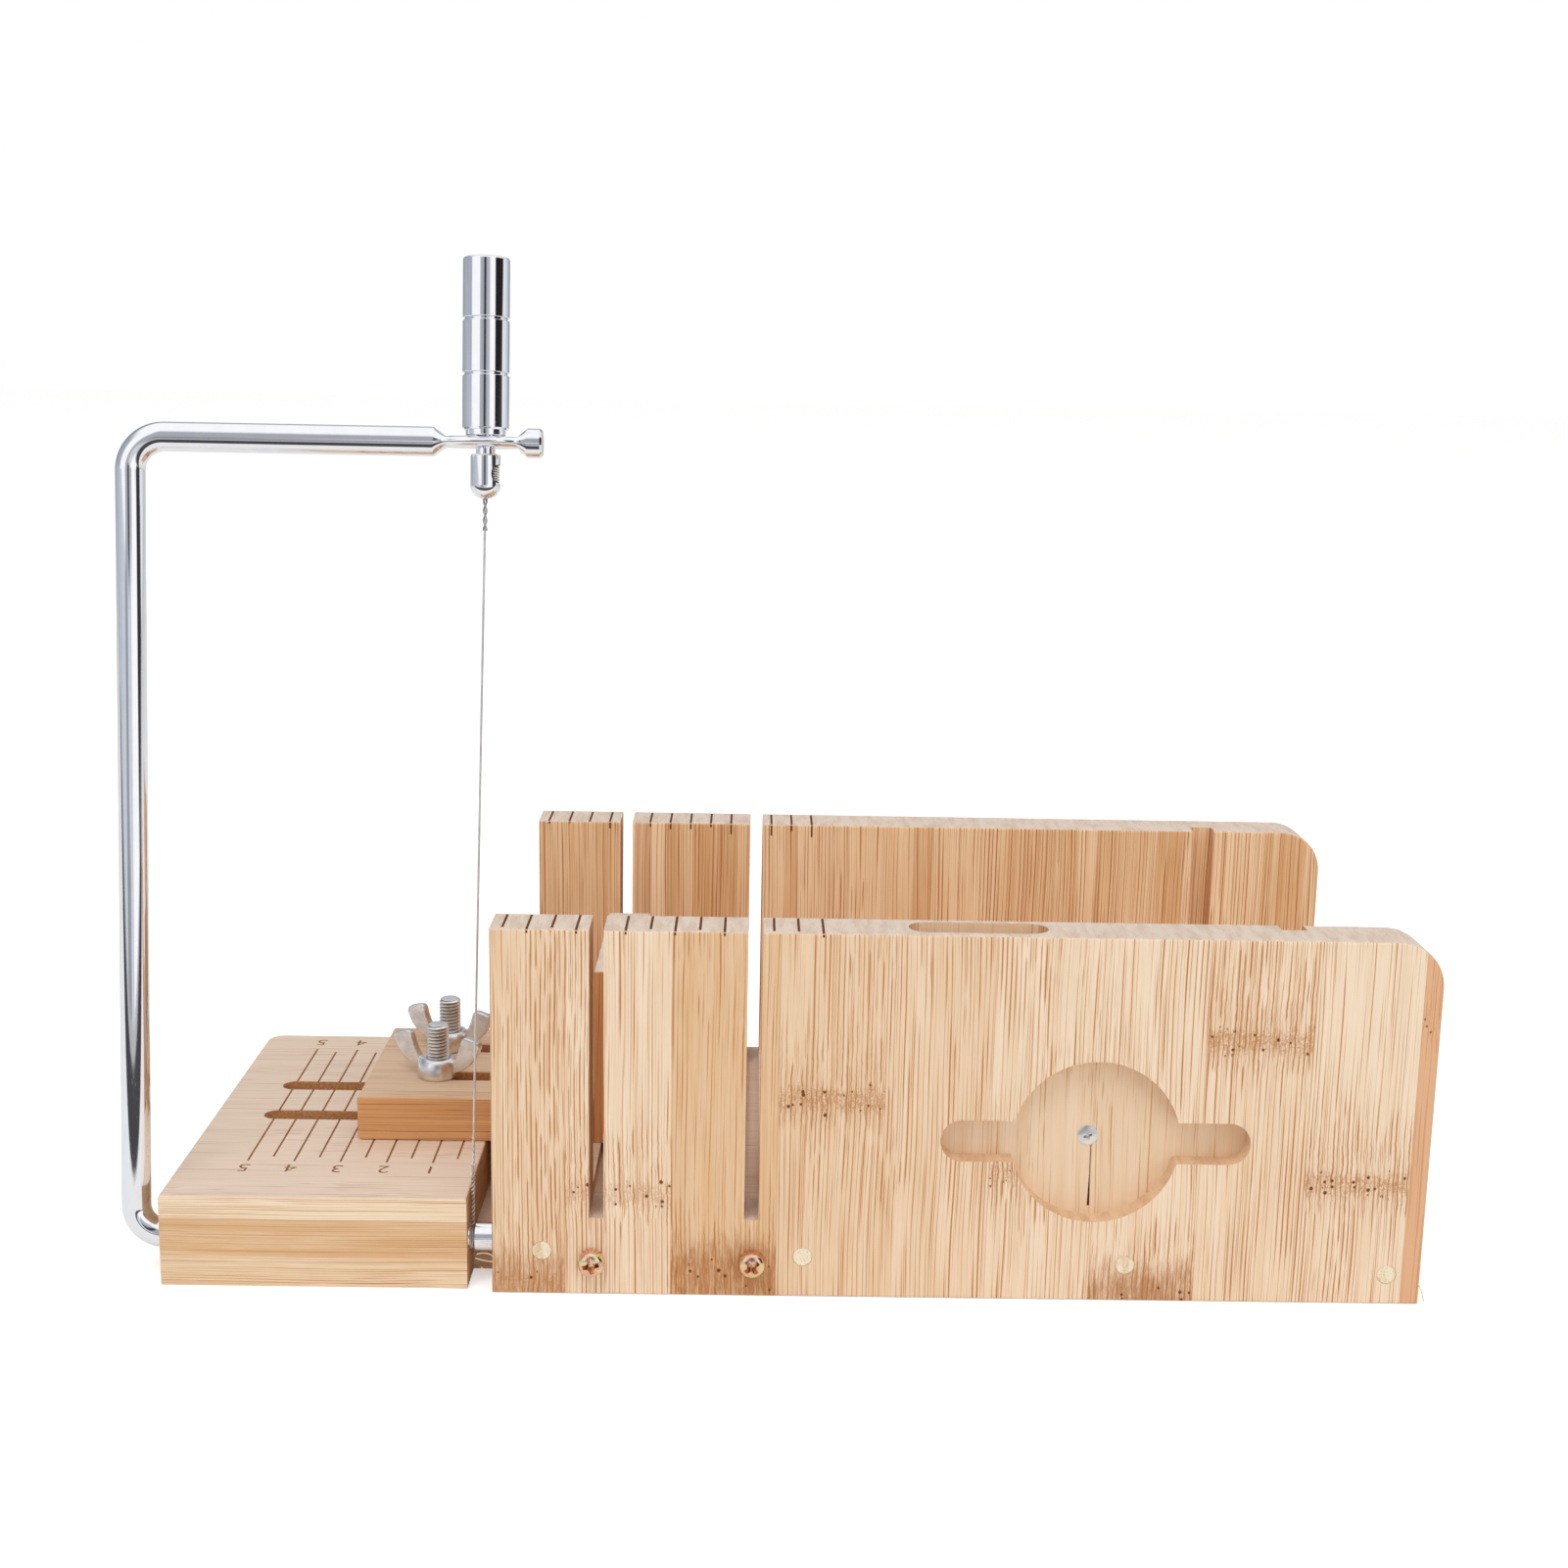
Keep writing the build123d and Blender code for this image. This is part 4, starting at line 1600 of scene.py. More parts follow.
@dataclass
class Fasteners:
    """Dowels and screws that hold the box together, in millimetres."""

    outer_face: float = 55.5
    dowels: tuple[Corner, ...] = ((12.8, 9.7), (67.1, 9.0), (134.6, 8.1), (189.7, 6.7))
    dowel_radius: float = 2.0
    dowel_length: float = 25.0
    # Shares of the radius, with heights
    dowel_end: tuple[Corner, ...] = ((1.0, -0.06), (0.96, 0.04), (0.6, 0.05), (0.25, 0.03), (0.0, 0.03))
    # Each screw's place and height, and its turn in degrees
    screws: tuple[Point, ...] = ((23.2, 7.6, 12.0), (56.6, 7.8, 38.0))
    shank_radius: float = 1.5
    shank_length: float = 25.0
    point_length: float = 3.0
    # Distances in from the head's rim, with distances down from its top
    head_end: tuple[Corner, ...] = ((0.0, 1.15), (0.18, 0.7), (0.77, 0.22), (1.65, 0.04), (2.75, 0.0))
    head_round: float = 0.15
    head_radius: float = 2.75
    head_height: float = 3.2
    cross: CrossRecess = CrossRecess(4.3, 1.2, 1.9)
    small_place: Point = (126.2, -51.0, 35.0)
    small_turn: float = 20.0
    small_profile: tuple[Corner, ...] = (
        (0, -6), (0.8, -4.4), (0.8, 0), (2.05, 0), (2.15, 0.08), (1.75, 0.3), (0.9, 0.42), (0, 0.44),
    )
    small_cross: CrossRecess = CrossRecess(2.5, 0.62, 0.9)

    def build(self) -> None:
        """Build dowels and screws for both walls."""
        for name, side in (("near", -1), ("far", 1)):
            self.dowel_row(name, side)
            self.screw_row(name, side)
        self.recess_screw()

    def upright_to_side(self, piece: Piece, side: int, place: Point, turn: float = 0.0) -> None:
        """Lay an upright piece into a wall, its top looking outwards.

        Args:
            piece: The piece, its seat at the origin.
            side: -1 near and 1 far.
            place: Where its seat goes.
            turn: How far it is first turned on its own axis, in degrees.
        """
        piece.rotation_euler = (0, 0, math.radians(turn))
        settle(piece)
        piece.rotation_euler = (-side * math.pi / 2, 0, 0)
        piece.location = Vector(place) * MM
        settle(piece)

    def dowel_row(self, name: str, side: int) -> None:
        """Build one wall's dowels, each with its rim a little open.

        Args:
            name: The side's name.
            side: -1 near and 1 far.
        """
        radius, foot = self.dowel_radius, -self.dowel_length
        end = [(share * radius, height) for share, height in self.dowel_end]
        model = turned("dowel", [(0, foot), (radius, foot), *end], 40)
        rods = []
        for number, (place, height) in enumerate(self.dowels):
            rod = copied(model, f"rod_{number}")
            self.upright_to_side(rod, side, (place, side * self.outer_face, height))
            rods.append(rod)
        bpy.data.objects.remove(model)
        row = joined(f"{name}_dowel_row", rods)
        dress(row, [DOWEL_END])
        smooth(row)
        place_piece(row, "base", "bamboo_end", f"{name}_dowels")

    def screw_row(self, name: str, side: int) -> None:
        """Build one wall's screws with their cross recesses.

        Args:
            name: The side's name.
            side: -1 near and 1 far.
        """
        head, top, shank = self.head_radius, self.head_height, self.shank_radius
        profile = [
            (0, -self.shank_length), (shank, self.point_length - self.shank_length), (shank, 0),
            (head - self.head_round, 0), (head, self.head_round),
        ]
        profile += [(head - inwards, top - down) for inwards, down in self.head_end]
        model = turned("screw", profile, 48)
        cut(model, self.cross.cutter(top))
        screws = []
        for number, (place, height, turn) in enumerate(self.screws):
            screw = copied(model, f"screw_{number}")
            self.upright_to_side(screw, side, (place, side * self.outer_face, height), turn)
            screws.append(screw)
        bpy.data.objects.remove(model)
        row = joined(f"{name}_screw_row", screws)
        dress(row, [YELLOW_ZINC])
        smooth(row)
        place_piece(row, "base", "yellow_zinc", f"{name}_screws")

    def recess_screw(self) -> None:
        """Build the small screw on the recess floor."""
        screw = turned("recess_screw_head", self.small_profile, 40)
        cut(screw, self.small_cross.cutter(self.small_profile[-1][1]))
        self.upright_to_side(screw, -1, self.small_place, self.small_turn)
        dress(screw, [BRIGHT_ZINC])
        smooth(screw)
        place_piece(screw, "base", "bright_zinc", "recess_screw")


@dataclass
class Splinters:
    """Loose fibres where the saw tore the bamboo, in millimetres."""

    threads: tuple[tuple[Point, Point, Point], ...] = (
        ((2.7, -55.3, 8.2), (1.1, -55.9, 9.4), (-0.6, -56.3, 9.0)),
        ((2.7, -55.4, 7.0), (1.2, -55.8, 7.3), (-0.9, -56.2, 8.1)),
        ((2.7, -55.3, 5.2), (1.4, -55.9, 5.0), (0.3, -56.2, 6.1)),
        ((196.6, -55.3, 4.6), (197.5, -55.6, 3.0), (197.9, -55.9, 0.9)),
    )
    thickness: float = 0.22

    def build(self) -> None:
        """Build the fibres as thin bent threads."""
        pieces = []
        for number, points in enumerate(self.threads):
            line = traced(f"thread_{number}", points)
            modified(line, "SUBSURF", levels=3, render_levels=3)
            pieces.append(wire_along(f"thread_{number}", line, self.thickness, 2))
        fibres = joined("torn_fibres", pieces)
        dress(fibres, [TORN])
        place_piece(fibres, "base", "bamboo")


# The stop and its clamps


@dataclass
class Stop:
    """The sliding stop: a slotted bar and an upright plate, in millimetres."""

    rows: Corner = (-6.0, 13.5)
    slot_half: float = 3.2
    slot_ends: Corner = (-18.6, 13.2)
    sanding: float = 0.35

    def build(self) -> None:
        """Build the bar and the plate from their solids."""
        bar = node_copy("stop_bar", "stop_bar_sanded")
        left, right = self.slot_ends

        def which(middle: Vector, normal: Vector) -> int:
            """Give the number of one face's finish.

            Args:
                middle: The face's middle in millimetres.
                normal: Its normal.

            Returns:
                The number.
            """
            in_slot = any(abs(middle.y - row) < self.slot_half for row in self.rows)
            # Walls inside the slots take the slot walls' painted shade, the bar's other faces there end
            # grain.
            if in_slot and abs(normal.z) < STANDING:
                return 3 if left < middle.x < right else 2
            return facing(normal, 0, 2, 1)

        dress(bar, [BAR_TOP, BAR_SIDE, BOARD_END, SHADED_SLOT_WALL], which)
        limit = math.radians(60)
        modified(bar, "BEVEL", width=self.sanding * MM, segments=3, limit_method="ANGLE", angle_limit=limit)
        smooth(bar, 30)
        place_piece(bar, "stop", "bamboo_dark", "stop_bar")

        plate = node_copy("stop_plate", "stop_plate_sanded")
        dress(plate, [PLATE_SIDE, PLATE_FACE, WALL_TOP], lambda _, normal: facing(normal, 2, 1, 0))
        smooth(plate, 30)
        place_piece(plate, "stop", "bamboo_dark", "stop_plate")


@dataclass
class Clamp:
    """One clamp: a bolt from below and its wing nut, in millimetres."""

    name: str
    row: float
    place: float = -15.7
    head_bottom: float = 1.5
    head_height: float = 3.47
    head_flats: float = 8.0
    head_chamfer: Corner = (0.7, 0.5)
    thread: Thread = Thread(2.5, 0.8, 0.45)
    thread_bottom: float = 16.0
    shank_taper: Corner = (0.4, 0.6)
    shank_overlap: float = 0.5
    top: float = 42.4
    tip_chamfer: float = 0.55
    grime: float = 0.05
    voxel: float = 0.17

    def build(self) -> None:
        """Build the bolt and the nut."""
        self.bolt()
        self.wing_nut()

    def shank(self) -> Piece:
        """Turn the plain shank, which runs a little way into the thread.

        Returns:
            The shank.
        """
        low, high = self.head_bottom + OVERRUN, self.thread_bottom + self.shank_overlap
        inwards, down = self.shank_taper
        wide = self.thread.radius
        profile = ((0, low), (wide, low), (wide, high - down), (wide - inwards, high), (0, high))
        return turned("shank", profile, 40)

    def head(self) -> Piece:
        """Make the six-sided head with its chamfered rim.

        Returns:
            The head.
        """
        low, high = self.head_bottom, self.head_bottom + self.head_height
        wide = self.head_flats / math.sqrt(3)
        bpy.ops.mesh.primitive_cylinder_add(
            vertices=6, radius=wide * MM, depth=self.head_height * MM,
            location=(0, 0, (low + high) / 2 * MM), rotation=(0, 0, TURN / 12),
        )
        head = named_new("head")
        inwards, up = self.head_chamfer
        profile = ((0, low), (wide - inwards, low), (wide, low + up), (wide, high), (0, high))
        cut(head, turned("cap", profile, 48), keep=True)
        return head

    def bolt(self) -> None:
        """Build the threaded bolt with its shank and head."""
        rod = self.thread.rod("thread", self.thread_bottom, self.top, self.tip_chamfer)
        bolt = joined(f"{self.name}_threaded_bolt", [rod, self.shank(), self.head()])
        bolt.location = Vector((self.place, self.row, 0)) * MM
        settle(bolt)
        dress(bolt, [BOLT_STEEL])
        root = self.thread.radius - self.thread.depth + self.grime

        def in_root(middle: Vector, normal: Vector) -> int | None:
            """Darken the bottom of the thread."""
            out = math.hypot(middle.x - self.place, middle.y - self.row)
            return 0 if middle.z > self.thread_bottom and out < root and abs(normal.z) < STANDING else None

        dress(bolt, [THREAD_ROOT], in_root)
        smooth(bolt, 40)
        place_piece(bolt, f"{self.name}_clamp", "steel", f"{self.name}_bolt")

    def wing_nut(self) -> None:
        """Build the cast nut with its softly rounded wings."""
        nut = node_copy(f"{self.name}_wing_nut", f"{self.name}_cast_nut")
        modified(nut, "REMESH", mode="VOXEL", voxel_size=self.voxel * MM, adaptivity=0.0)
        modified(nut, "SMOOTH", factor=0.5, iterations=7)
        pick(nut)
        bpy.ops.object.shade_smooth()
        dress(nut, [STEEL])
        place_piece(nut, f"{self.name}_nut", "steel", f"{self.name}_wing_nut")


# The bow and its wire


@dataclass
class ArmFrame:
    """Where the bow stands: upright work is leant back from the axle's line."""

    axle: Point = (0.0, -49.5, 10.0)
    lean: float = 6.8

    def stand(self, piece: Piece) -> None:
        """Move an upright piece from the axle's origin to its leaning place.

        Args:
            piece: The piece.
        """
        piece.rotation_euler = (math.radians(-self.lean), 0, 0)
        piece.location = Vector(self.axle) * MM
        settle(piece)

    def at(self, place: float, along: float) -> Vector:
        """Give a point of the leaning frame.

        Args:
            place: Its place along X in millimetres.
            along: Its height up the bow.

        Returns:
            The point in metres.
        """
        turn = Matrix.Rotation(math.radians(-self.lean), 3, "X")
        return (turn @ Vector((place, 0, along)) + Vector(self.axle)) * MM


class RodMaker:
    """Draws a round rod out from its end face, step by step."""

    def __init__(self, name: str, start: Point, radius: float, sides: int) -> None:
        """Begin with an end disc that looks along -X.

        Args:
            name: The rod's name.
            start: The middle of the disc in millimetres.
            radius: The disc's radius.
            sides: How many faces go round.
        """
        bpy.ops.mesh.primitive_circle_add(
            vertices=sides, radius=radius * MM, fill_type="NGON",
            location=Vector(start) * MM, rotation=(0, math.pi / 2, 0),
        )
        self.rod = named_new(name)
        self.middle = Vector(start) * MM
        pick(self.rod)
        bpy.ops.object.mode_set(mode="EDIT")
        bpy.ops.mesh.select_mode(type="FACE")
        bpy.ops.mesh.select_all(action="SELECT")

    def across(self, step: float, width: float = 1.0, thick: float = 1.0) -> None:
        """Draw the end out along X and scale it.

        Args:
            step: How far it goes, in millimetres.
            width: How the end is scaled along Y.
            thick: How it is scaled along Z.
        """
        self.out((step, 0, 0))
        if (width, thick) != (1.0, 1.0):
            bpy.ops.transform.resize(value=(1, width, thick), center_override=self.middle)

    def to(self, place: float, width: float = 1.0, thick: float = 1.0) -> None:
        """Draw the end out to a place on X and scale it, as across does.

        Args:
            place: Where it goes, in millimetres.
            width: How the end is scaled along Y.
            thick: How it is scaled along Z.
        """
        self.across(place - self.middle.x / MM, width, thick)

    def out(self, step: Point) -> None:
        """Draw the end out straight.

        Args:
            step: How far it goes along each axis, in millimetres.
        """
        move = Vector(step) * MM
        bpy.ops.mesh.extrude_region_move(TRANSFORM_OT_translate={"value": move})
        self.middle += move

    def bend(self, centre: Point, end: Point, steps: int = 20) -> None:
        """Draw the end round a quarter bend in the bow's plane.

        Args:
            centre: The bend's centre in millimetres.
            end: Where the middle then is, in millimetres.
            steps: How many sections the bend has.
        """
        bpy.ops.mesh.spin(steps=steps, angle=TURN / 4, center=Vector(centre) * MM, axis=(0, -1, 0))
        self.middle = Vector(end) * MM

    def done(self) -> Piece:
        """Close the rod.

        Returns:
            The rod with its normals outwards.
        """
        weld(0.0005)
        bpy.ops.object.mode_set(mode="OBJECT")
        return self.rod


@dataclass
class CuttingArm:
    """The bent rod with its axle, leg, upper rod and pressed eye."""

    frame: ArmFrame
    radius: float = 3.0
    end: float = 9.6
    leg: float = -72.8
    reach: float = 165.7
    lower_bend: float = 6.0
    upper_bend: float = 7.0
    neck: Corner = (-1.7, -2.9)
    neck_radius: float = 2.0
    chamfer: float = 0.4
    shoulder: float = 0.15
    shoulder_share: float = 0.96
    eye_place: float = -0.5
    eye_half: float = 1.05
    eye_ends: Corner = (-8.7, 6.2)
    hole_radius: float = 2.05
    # Place, half width and half thickness from the upper rod over the eye to the tip
    stations: tuple[Point, ...] = (
        (-11.1, 3.0, 3.0), (-10.6, 2.98, 2.62), (-9.9, 2.95, 2.1), (-9.2, 2.95, 1.6), (-8.5, 3.1, 1.35),
        (-7.4, 3.7, 1.5), (-6.0, 4.45, 1.6), (-4.4, 5.0, 1.6), (-2.6, 5.32, 1.6), (-0.5, 5.4, 1.6),
        (1.6, 5.3, 1.6), (3.2, 4.85, 1.6), (4.5, 4.1, 1.55), (5.4, 3.4, 1.35), (6.1, 3.02, 1.5),
        (6.9, 2.96, 2.05), (7.6, 2.98, 2.6), (8.1, 3.0, 3.0), (10.7, 3.0, 3.0), (11.1, 2.6, 2.6),
    )

    def build(self) -> None:
        """Draw the rod, press the eye and drill it."""
        rod = self.draw()
        self.press(rod)
        over = self.radius + OVERRUN
        hole = pin("drill", self.hole_radius, self.reach - over, self.reach + over)
        hole.location.x = self.eye_place * MM
        settle(hole)
        cut(rod, hole)
        self.frame.stand(rod)
        dress(rod, [CHROME])
        smooth(rod, 32)
        place_piece(rod, "arm", "chrome", "cutting_arm")

    def draw(self) -> Piece:
        """Draw the rod out from the axle's end to the upper rod's tip.

        Returns:
            The closed rod, upright, with its eye still thick.
        """
        maker = RodMaker("bent_rod", (self.end, 0, 0), self.radius - self.chamfer, 56)
        grow = self.radius / (self.radius - self.chamfer)
        maker.across(-self.chamfer, grow, grow)
        first, last = self.neck
        eased = self.shoulder_share
        slim = self.neck_radius / (self.radius * eased)
        maker.to(first + self.shoulder)
        maker.across(-self.shoulder, eased, eased)
        maker.across(-HAIR, slim, slim)
        maker.across(last - first)
        maker.across(-HAIR, 1 / slim, 1 / slim)
        maker.across(-self.shoulder, 1 / eased, 1 / eased)
        corner = self.leg + self.lower_bend
        maker.to(corner)
        maker.bend((corner, 0, self.lower_bend), (self.leg, 0, self.lower_bend))
        rise = self.reach - self.upper_bend
        maker.out((0, 0, rise - self.lower_bend))
        corner = self.leg + self.upper_bend
        maker.bend((corner, 0, rise), (corner, 0, self.reach))
        wide, thick = self.radius, self.radius
        for place, half_width, half_thick in self.stations:
            maker.to(place, half_width / wide, half_thick / thick)
            wide, thick = half_width, half_thick
        return maker.done()

    def press(self, rod: Piece) -> None:
        """Press the eye flat above and below, as a press does.

        Args:
            rod: The rod.
        """
        left, right = self.eye_ends
        foot = self.reach - self.radius - OVERRUN
        for sign in (1, -1):
            face = self.reach + sign * self.eye_half
            with editing(rod, whole=False):
                choose(rod, lambda at: left < at.x < right and (at.z - face) * sign > 0 and at.z > foot)
                bpy.ops.transform.resize(value=(1, 1, 0), center_override=(0, 0, face * MM))


@dataclass
class TensionKnob:
    """The grooved barrel that draws the hook up, in millimetres."""

    frame: ArmFrame
    place: float = -0.5
    foot: float = 167.0
    radius: float = 4.75
    length: float = 35.7
    foot_radius: float = 4.05
    foot_height: float = 1.2
    grooves: tuple[float, float] = (12.4, 23.4)
    groove_half: float = 0.26
    groove_depth: float = 0.42
    groove_round: float = 0.12
    groove_lip: float = 0.1
    foot_chamfer: float = 0.2
    # The lower and the upper rim, as distances inwards and up or down
    lower_rim: Corner = (0.35, 0.4)
    upper_rim: tuple[Corner, ...] = ((0.0, 0.45), (0.14, 0.14), (0.5, 0.0), (1.6, -0.02), (4.75, -0.02))

    def build(self) -> None:
        """Turn the barrel with its foot and grooves."""
        wide, foot, ease = self.radius, self.foot_radius, self.foot_chamfer
        profile = [
            (0, 0), (foot - ease, 0), (foot, ease), (foot, self.foot_height),
            (wide - self.lower_rim[0], self.foot_height), (wide, self.foot_height + self.lower_rim[1]),
        ]
        half, out = self.groove_half, self.groove_half + self.groove_round
        floor, lip = wide - self.groove_depth, wide - self.groove_lip
        for groove in self.grooves:
            profile += [
                (wide, groove - out), (lip, groove - half), (floor, groove - self.groove_round),
                (floor, groove + self.groove_round), (lip, groove + half), (wide, groove + out),
            ]
        profile += [(wide - inwards, self.length - down) for inwards, down in self.upper_rim]
        knob = turned("turned_knob", profile, 96)
        knob.location = Vector((self.place, 0, self.foot)) * MM
        settle(knob)
        self.frame.stand(knob)
        dress(knob, [CHROME])
        smooth(knob, 24)
        place_piece(knob, "knob", "chrome", "tension_knob")


@dataclass
class WireHook:
    """The hook that the wire hangs from, with its threaded stud."""

    frame: ArmFrame
    place: float = -0.5
    bottom: float = 154.2
    shoulder: float = 163.3
    radius: float = 3.05
    dome_share: float = 0.9
    rim: Corner = (0.25, 0.3)
    notch: Corner = (157.3, 161.3)
    notch_round: float = 1.8
    notch_out: float = 0.25
    # Left and right end and half the width of the hollow behind the notch
    pocket: Point = (-0.9, 2.5, 1.2)
    pocket_lip: float = 0.5
    hole_radius: float = 0.62
    stud: Thread = Thread(1.9, 0.7, 0.36)
    stud_top: float = 183.3
    stud_root: float = 0.5
    stud_chamfer: float = 0.4
    # Radius, sunk part and height of the plain collar, and its chamfer
    collar: Point = (1.95, 0.4, 2.0)
    collar_chamfer: Corner = (0.25, 0.3)

    def build(self) -> None:
        """Turn the hook, cut its notch and add the stud."""
        hook = self.body()
        for cutter in self.cutters():
            cut(hook, cutter)
        stud = self.stud.rod("stud", self.shoulder - self.stud_root, self.stud_top, self.stud_chamfer)
        wide, sunk, height = self.collar
        inwards, down = self.collar_chamfer
        low, high = self.shoulder - sunk, self.shoulder + height
        profile = ((0, low), (wide, low), (wide, high - down), (wide - inwards, high), (0, high))
        collar = turned("collar", profile, 48)
        for part in (stud, collar):
            dress(part, [CHROME])
        hook = joined("notched_hook", [hook, stud, collar])
        hook.location.x = self.place * MM
        settle(hook)
        self.frame.stand(hook)
        smooth(hook, 30)
        place_piece(hook, "hook", "chrome", "wire_hook")

    def body(self) -> Piece:
        """Turn the barrel with its domed foot.

        Returns:
            The barrel in its chrome finish.
        """
        profile = [(0, self.bottom)]
        for step in range(1, 9):
            angle = TURN / 4 * step / 8
            rise = self.radius * (1 - math.cos(angle)) * self.dome_share
            profile.append((self.radius * math.sin(angle), self.bottom + rise))
        inwards, down = self.rim
        wide, end = self.radius, self.shoulder
        profile += [(wide, end - down), (wide - inwards, end), (0, end)]
        body = turned("notched_hook", profile, 72)
        dress(body, [CHROME])
        return body

    def cutters(self) -> list[Piece]:
        """Make the shapes of the notch, its hollow and the wire's hole.

        Returns:
            The three cutters, the first two with a dark grey finish that paints the shade in the notch and
            its hollow.
        """
        low, high = self.notch
        across = self.radius + OVERRUN
        notch = pin("notch", self.notch_round, -across, across)
        notch.rotation_euler = (TURN / 4, 0, 0)
        settle(notch)
        notch.scale = (1, 1, (high - low) / 2 / self.notch_round)
        notch.location = Vector((self.radius + self.notch_out, 0, (low + high) / 2)) * MM
        settle(notch)
        left, right, half = self.pocket
        lip = self.pocket_lip
        pocket = block("pocket", (left, -half, low + lip), (right, half, high - lip))
        # The notch and its hollow take the dark finish of painted shade.
        for part in (notch, pocket):
            dress(part, [SHADED_HOLLOW])
        return [notch, pocket, pin("wire_hole", self.hole_radius, self.bottom - OVERRUN, low + OVERRUN, 24)]


@dataclass(frozen=True)
class Twist:
    """Strands wound round a middle line that may stand aside of the wire's, in millimetres."""

    radius: float
    turns: float
    aside: float = 0.0
    count: int = 2

    def strands(self, name: str, bottom: float, top: float, place: float, section: float) -> list[Piece]:
        """Make the strands.

        Args:
            name: The strands' name.
            bottom: Height of the lower end.
            top: Height of the upper end.
            place: The line's place along X.
            section: A strand's diameter.

        Returns:
            The strands.
        """
        made = []
        for number in range(self.count):
            line = helix(f"{name}_{number}", self.radius, bottom, top, self.turns, number / self.count)
            line.location.x = (place + self.aside) * MM
            settle(line)
            made.append(wire_along(f"{name}_{number}", line, section, 2))
        return made


@dataclass
class CuttingWire:
    """The wire with its twisted ends and the leader on the axle, in millimetres."""

    frame: ArmFrame
    diameter: float = 0.5
    strand: float = 0.42
    foot_place: float = -2.3
    hook_place: float = -0.5
    ring_radius: float = 2.3
    ring_offsets: Corner = (-0.18, 0.2)
    stem: Twist = Twist(0.32, 6.0)
    leader_top: float = 13.4
    eyelet_radius: float = 0.8
    link_radius: float = 0.45
    link_height: float = 15.2
    lower: Twist = Twist(0.17, 2.5, 0.03)
    # Ends of the lower twist over the link and of the upper one over the hook's foot
    lower_ends: Corner = (-0.1, 5.6)
    upper: Twist = Twist(0.28, 2.5, -0.03)
    upper_ends: Corner = (-6.3, 3.4)
    hook_bottom: float = 154.2
    # The wire left over, coiled in the hook's notch
    coil: Twist = Twist(0.95, 6.5, 1.75, 1)
    coil_ends: Corner = (3.5, 6.7)
    # How far the straight run stays off the link and the hook's foot, and a second such pair further off
    run_ends: Corner = (0.2, -1.0)
    bend_ends: Corner = (6.0, -7.0)

    def build(self) -> None:
        """Build the leader and the wire."""
        self.leader()
        self.wire()

    def ring(self, name: str, radius: float, place: float, height: float, upright: bool = True) -> Piece:
        """Make a round eye of wire.

        Args:
            name: The eye's name.
            radius: Radius of its middle line.
            place: Its middle's place along X.
            height: Its middle's height.
            upright: True turns its face along X, false along Y.

        Returns:
            The eye.
        """
        bpy.ops.mesh.primitive_torus_add(
            major_radius=radius * MM, minor_radius=self.strand / 2 * MM, major_segments=40, minor_segments=12,
            location=(place * MM, 0, height * MM), rotation=(0, TURN / 4, 0) if upright else (TURN / 4, 0, 0),
        )
        eye = named_new(name)
        pick(eye)
        bpy.ops.object.shade_smooth()
        return eye

    def leader(self) -> None:
        """Build the twisted leader: two rings on the neck, a stem and an eyelet."""
        place = self.foot_place
        pieces = [self.ring("neck_ring", self.ring_radius, place + offset, 0) for offset in self.ring_offsets]
        pieces += self.stem.strands("stem", self.ring_radius, self.leader_top, place, self.strand)
        pieces.append(self.ring("eyelet", self.eyelet_radius, place, self.leader_top + self.eyelet_radius))
        leader = joined("twisted_leader", pieces)
        self.frame.stand(leader)
        dress(leader, [LEADER_STEEL])
        place_piece(leader, "arm", "wire", "wire_leader")

    def wire(self) -> None:
        """Build the wire: a link, two twisted ends, the straight run and a coil."""
        foot, hook = self.foot_place, self.hook_place
        low, high = self.link_height + self.link_radius, self.hook_bottom
        link = self.ring("link", self.link_radius, foot, self.link_height, upright=False)
        start, end = self.lower_ends
        lower = self.lower.strands("lower_twist", low + start, low + end, foot, self.strand)
        start, end = self.upper_ends
        upper = self.upper.strands("upper_twist", high + start, high + end, hook, self.strand)
        start, end = self.run_ends
        line = traced("run", [(foot, 0, low + start), (hook, 0, high + end)])
        modified(line, "SUBSURF", levels=5, render_levels=5)
        run = wire_along("run", line, self.diameter, 3)
        start, end = self.coil_ends
        coil = self.coil.strands("coil", high + start, high + end, hook, self.strand)
        # The upper twist takes the darker steel, which paints its shade.
        for pieces, finish in (([link, *lower, run, *coil], WIRE_STEEL), (upper, TWIST_STEEL)):
            for piece in pieces:
                dress(piece, [finish])
        wire = joined("cutting_wire_strung", [link, *lower, *upper, run, *coil])
        self.frame.stand(wire)
        start, end = self.bend_ends
        self.frame.at(foot, low + start)
        self.frame.at(hook, high + end)
        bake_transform(wire)
        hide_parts("cutting_wire")
        LOG.info("%s bends between arm and hook with %d faces", wire.name, len(wire.data.polygons))


# The studio

GREY_BLUE = (0.5, 0.53, 0.58)
SOFT_GREY = (0.42, 0.43, 0.46)
BRIGHT = (0.85, 0.87, 0.9)
WHITE = (1.0, 1.0, 1.0)


@dataclass(frozen=True)
class Lamp:
    """One square lamp, in metres and watts."""

    name: str
    place: Point
    width: float
    power: float


